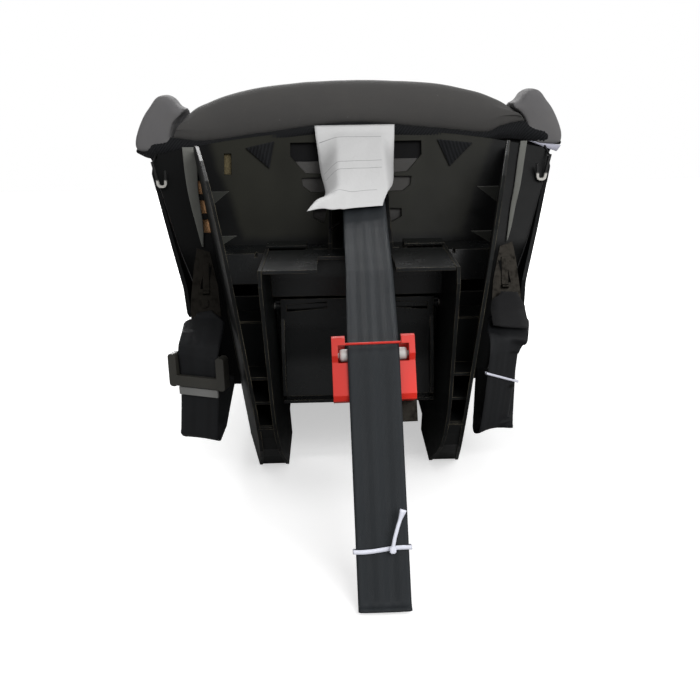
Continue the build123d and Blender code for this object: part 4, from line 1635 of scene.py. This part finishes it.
@dataclass
class Harness:
    """Straps and pads inside the bucket."""

    shoulder_line: tuple = ((352, 50), (470, 50), (470, 90), (320, 90), (293, 110.5))
    hip_line: tuple = ((53, 280, 113), (70, 256, 103), (112, 240, 97))
    crotch_line: tuple = ((169, 182), (208, 182))

    def build(self) -> None:
        """Makes every strap and pad."""
        for side_name, side in SIDES.items():
            line = [at(34 * side, y, z) for y, z in self.shoulder_line]
            strap = Ribbon(NARROW, bands=3, wave=0.0004, seed=side).build(
                f"shoulder_webbing_{side_name}", rounded(line, 0.004), lambda t: ACROSS)
            keep(strap, Finishes.NARROW, Slot.WEBBING, f"shoulder_strap_{side_name}")
            line = [at(x * side, y, z) for x, y, z in self.hip_line]
            hip = Ribbon(NARROW, bands=3, wave=0.0004, seed=side + 4).build(
                f"hip_webbing_{side_name}", rounded(line, 0.012),
                lambda t: Vector((0.25 * side, 0.6, -0.75)))
            keep(hip, Finishes.NARROW, Slot.WEBBING, *(["hip_straps"] if side > 0 else []))
            self.build_pad(side_name, side)
        end = buckle_place() @ Vector((0, -33.5, 0))
        line = [at(0, y, z) for y, z in self.crotch_line] + [end]
        crotch = Ribbon(NARROW, bands=3, wave=0.0003, seed=9).build(
            "crotch_webbing", rounded(line, 0.008), lambda t: ACROSS)
        keep(crotch, Finishes.NARROW, Slot.WEBBING, "crotch_strap")

    def build_pad(self, side_name: str, side: int) -> None:
        """Padded sleeve round one shoulder strap.

        Args:
            side_name: left or right.
            side: -1 for left, 1 for right.
        """
        rings = []
        for t in spread(0, 1, 24):
            y = 385.5 + 69 * t
            puff = 1 + 0.10 * math.sin(math.pi * t) ** 0.5
            seam = 0.94 if t in (0, 1) else 1.0
            outline = [(-15.6, 87.8), (-16, 92), (-13, 97.5), (0, 99.5), (13, 97.5), (16, 92),
                       (15.6, 87.8), (0, 87.6)]
            ring = []
            for x, z in loop_through(outline, 32):
                z = 93 + (z - 93) * puff * seam
                ring.append(at(side * 34 + x * seam, y, z))
            rings.append(ring)
        pad = loft(f"shoulder_sleeve_{side_name}", rings)
        move_points(pad, lambda p, n: n * ripple(p, 0.012, side) * 0.0005)
        keep(pad, Finishes.COVER, Slot.COVER, f"shoulder_pad_{side_name}", fill=0.5)


# ---------------------------------------------------------------- lower anchors

@dataclass
class Anchor:
    """One lower-anchor strap in seat millimetres: webbing from the hook down to its hanging loop."""

    left: tuple = ((-142, 103.4, 153), (-141, 99, 147.5), (-141.5, 82, 140), (-143, 66, 132),
                   (-145, 64, 122), (-145, 64, 90), (-149, 66.5, 44), (-148, 76, 37), (-143, 87, 48),
                   (-133, 99, 94))
    right: tuple = ((141.5, 102.4, 150), (140, 88, 141), (135, 68, 131.5), (132.5, 63.5, 120),
                    (129.5, 64, 84), (126.5, 68, 46), (126.5, 76, 39), (128.5, 86, 48), (131.5, 97, 92))
    sleeve: tuple = ((143, 103.8, 166), (142.5, 102.5, 160), (141, 98.5, 151.5), (139.5, 74, 140))

    yaw: float = 0.35

    def build(self, side_name: str, side: int) -> None:
        """Makes one strap and, on the right, its sleeve and elastic.

        Args:
            side_name: left or right.
            side: -1 for left, 1 for right.
        """
        square = Vector((math.cos(self.yaw), -math.sin(self.yaw), 0))
        ribbon = Ribbon(WIDE, wave=0.0006, cup=0.0004 * side, seed=12 + side, gathered=0.38)
        if side < 0:
            line, across = self.left, turning(ACROSS, square, 0.15, 0.35)
        else:
            askew = Vector((0.8, 0.6, 0))
            line, across = self.right, lambda t: ACROSS.lerp(
                askew, ease((t - 0.12) / 0.16) * (1 - ease((t - 0.6) / 0.2)))
        path = rounded([at(*p) for p in line], 0.006, 0.003)
        piece = ribbon.build(f"anchor_loop_{side_name}", path, across)
        keep(piece, Finishes.SLACK, Slot.WEBBING, f"anchor_webbing_{side_name}")
        if side > 0:
            self.build_sleeve()
            self.build_elastic(askew)

    def build_sleeve(self) -> None:
        """Cloth flap over the lower end of the right hook."""
        ribbon = Ribbon(0.033, 0.0016, 1, 0.0009, -0.0008, seed=21, gathered=0.5, gather_length=0.012)
        piece = ribbon.build("hook_flap", rounded([at(*p) for p in self.sleeve], 0.012, 0.002),
                             lambda t: Vector((1, 0.2, 0)))
        keep(piece, Finishes.SLEEVE, Slot.COVER, "hook_sleeve")

    def build_elastic(self, askew: Vector) -> None:
        """Thin elastic round the right strap, pulled askew.

        Args:
            askew: Direction across the strap where the elastic holds it.
        """
        place = placement((131, 63.7, 95.5), turn(math.degrees(math.atan2(askew.y, askew.x)), "Z"))
        outline = [(-20, -1.4), (-20.2, 0.4), (-19, 2), (0, 1.9), (19, 2), (20.2, 0.4), (20, -1.4), (0, -1.5)]
        band = band_round("elastic_loop", outline, 56, (1.1, 0.35), lambda x: -0.42 * x,
                          lambda x, y, along: place @ Vector((x, y, along)))
        keep(band, Finishes.ELASTIC, Slot.PALE, "elastic_band")


# ---------------------------------------------------------------- hard parts

@dataclass
class HardParts:
    """The CAD nodes that stay as they are, with their finishes."""

    frame: dict

    def dress(self) -> None:
        """Gives each node its finish."""
        sides = [f"{kind}_{side}" for kind in ("base_rail", "back_rail") for side in SIDES]
        dress_nodes(Finishes.RAIL, sides, self.frame)
        dress_nodes(Finishes.BASE, ["belt_panel", "well", "recline_foot"], self.frame)
        dress_nodes(Finishes.PAN, ["seat_pan"], self.frame)
        dress_nodes(Finishes.RIBS, ["pan_ribs"], self.frame)
        dress_nodes(Finishes.FINS, ["pan_fins"], self.frame)
        dress_nodes(Finishes.SHELL, ["side_wing_left", "side_wing_right", "back_panel"], self.frame)
        dress_nodes(Finishes.TRIM, ["buckle_housing", "chest_clip", "triglide_frame"], self.frame)
        dress_nodes(Finishes.RED, ["adjuster_housing", "buckle_button"], self.frame)
        dress_nodes(Finishes.PALE, ["adjuster_bar"], self.frame)
        dress_nodes(Finishes.HOOKS, ["cover_hooks"], self.frame)
        bronzed = ["anchor_plate_left", "anchor_plate_right", "anchor_gate_left", "anchor_gate_right",
                   "anchor_rivets", "adjuster_plate"]
        dress_nodes(Finishes.BRONZE, bronzed, self.frame)
        dress_nodes(Finishes.STEEL, ["foot_pin", "screws", "splitter_plate"], self.frame)
        dress_nodes(Finishes.SATIN, ["tongue_left", "tongue_right"], self.frame)
        dress_nodes(Finishes.GREY, ["triglide_bar"], self.frame)
        dress_nodes(Finishes.TRIM, ["chest_button"], self.frame)


# ---------------------------------------------------------------- studio

@dataclass
class Studio:
    """Floor, lamps, world and camera, in metres."""

    camera_at: Vector = field(default_factory=lambda: at(-20.7, -665, 362))
    tilt: float = 18.0
    swing: float = 1.03
    lean: float = 1.02
    lens: float = 43.71
    sky: tuple = (-0.2, 1.0, 0.5, 0.6)
    reach: float = 6
    far_edge: float = 2.0
    drop: float = -0.0005
    bounce: float = 0.3  # the floor's grey for light, then for the camera, and its own glow there
    white: float = 0.86
    glow: float = 0.5
    key: tuple = ((0.8, -1.7, 1.2), 24, 1.2)
    back: tuple = ((-0.3, 1.9, 1.35), 60, 1.2)

    def build(self) -> None:
        """Makes everything round the seat."""
        self.build_floor()
        self.build_world()
        self.build_lamp("key_lamp", *self.key)
        self.build_lamp("back_lamp", *self.back)
        self.build_camera()
        bpy.context.scene.view_settings.view_transform = "Standard"

    def build_floor(self) -> None:
        """Wide pale floor that keeps the seat's shadow."""
        corners = [Vector((x, y, self.drop)) for x, y in (
            (-self.reach, -self.reach), (self.reach, -self.reach), (self.reach, self.far_edge),
            (-self.reach, self.far_edge))]
        floor = make_mesh("floor", corners, [(0, 1, 2, 3)])
        graph = Graph("floor_paint")
        seen = graph.node("ShaderNodeLightPath", output="Is Camera Ray")
        colour = graph.mix(seen, (self.bounce,) * 3, (self.white,) * 3)
        glow = graph.mix(seen, (0.0, 0.0, 0.0), (self.glow,) * 3)
        graph.surface(Base_Color=colour, Roughness=0.9, Emission_Color=glow, Emission_Strength=1.0)
        floor.data.materials.append(graph.material)

    def build_world(self) -> None:
        """White surroundings that light the seat evenly."""
        world = bpy.data.worlds.new("studio")
        world.use_nodes = True
        nodes = Nodes(world.node_tree)
        height = nodes.split(nodes.node("ShaderNodeTexCoord", output="Generated"))[2]
        sky = dict(zip(("From Min", "From Max", "To Min", "To Max"), self.sky))
        light = nodes.node("ShaderNodeMapRange", None, {"Value": height, **sky})
        seen = nodes.node("ShaderNodeLightPath", output="Is Camera Ray")
        strength = nodes.node("ShaderNodeMapRange", None, {"Value": seen, "To Min": light, "To Max": 1.0})
        nodes.show("ShaderNodeOutputWorld", nodes.node("ShaderNodeBackground", None, {
            "Color": (1.0, 1.0, 1.0), "Strength": strength}))
        bpy.context.scene.world = world

    def build_lamp(self, name: str, place: Point, power: float, size: float) -> None:
        """Soft square lamp aimed at the seat.

        Args:
            name: Name of the lamp.
            place: Where it stands, in metres.
            power: Power in watts.
            size: Side of its square, in metres.
        """
        light = bpy.data.lights.new(name, "AREA")
        light.energy = power
        light.size = size
        lamp = bpy.data.objects.new(name, light)
        lamp.location = place
        lamp.rotation_euler = (at(0, 120, 160) - Vector(place)).to_track_quat("-Z", "Y").to_euler()
        bpy.context.scene.collection.objects.link(lamp)

    def build_camera(self) -> None:
        """Camera at the foot of the seat, looking slightly down."""
        data = bpy.data.cameras.new("camera")
        data.lens = self.lens
        data.sensor_width = 36
        camera = bpy.data.objects.new("camera", data)
        aim = turn(-self.swing, "Z") @ turn(90 - self.tilt, "X") @ turn(-self.lean, "Z")
        camera.matrix_world = Matrix.Translation(self.camera_at) @ aim.to_4x4()
        bpy.context.scene.collection.objects.link(camera)
        bpy.context.scene.camera = camera


def main() -> None:
    """Builds the whole scene round the frame."""
    logging.basicConfig(level=logging.INFO, format="%(name)s %(message)s")
    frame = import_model()
    Studio().build()
    HardParts(frame).dress()
    Cover().build()
    Adjuster().build()
    SewnTag().build()
    Harness().build()
    for side_name, side in SIDES.items():
        Anchor().build(side_name, side)


if __name__ == "__main__":
    main()
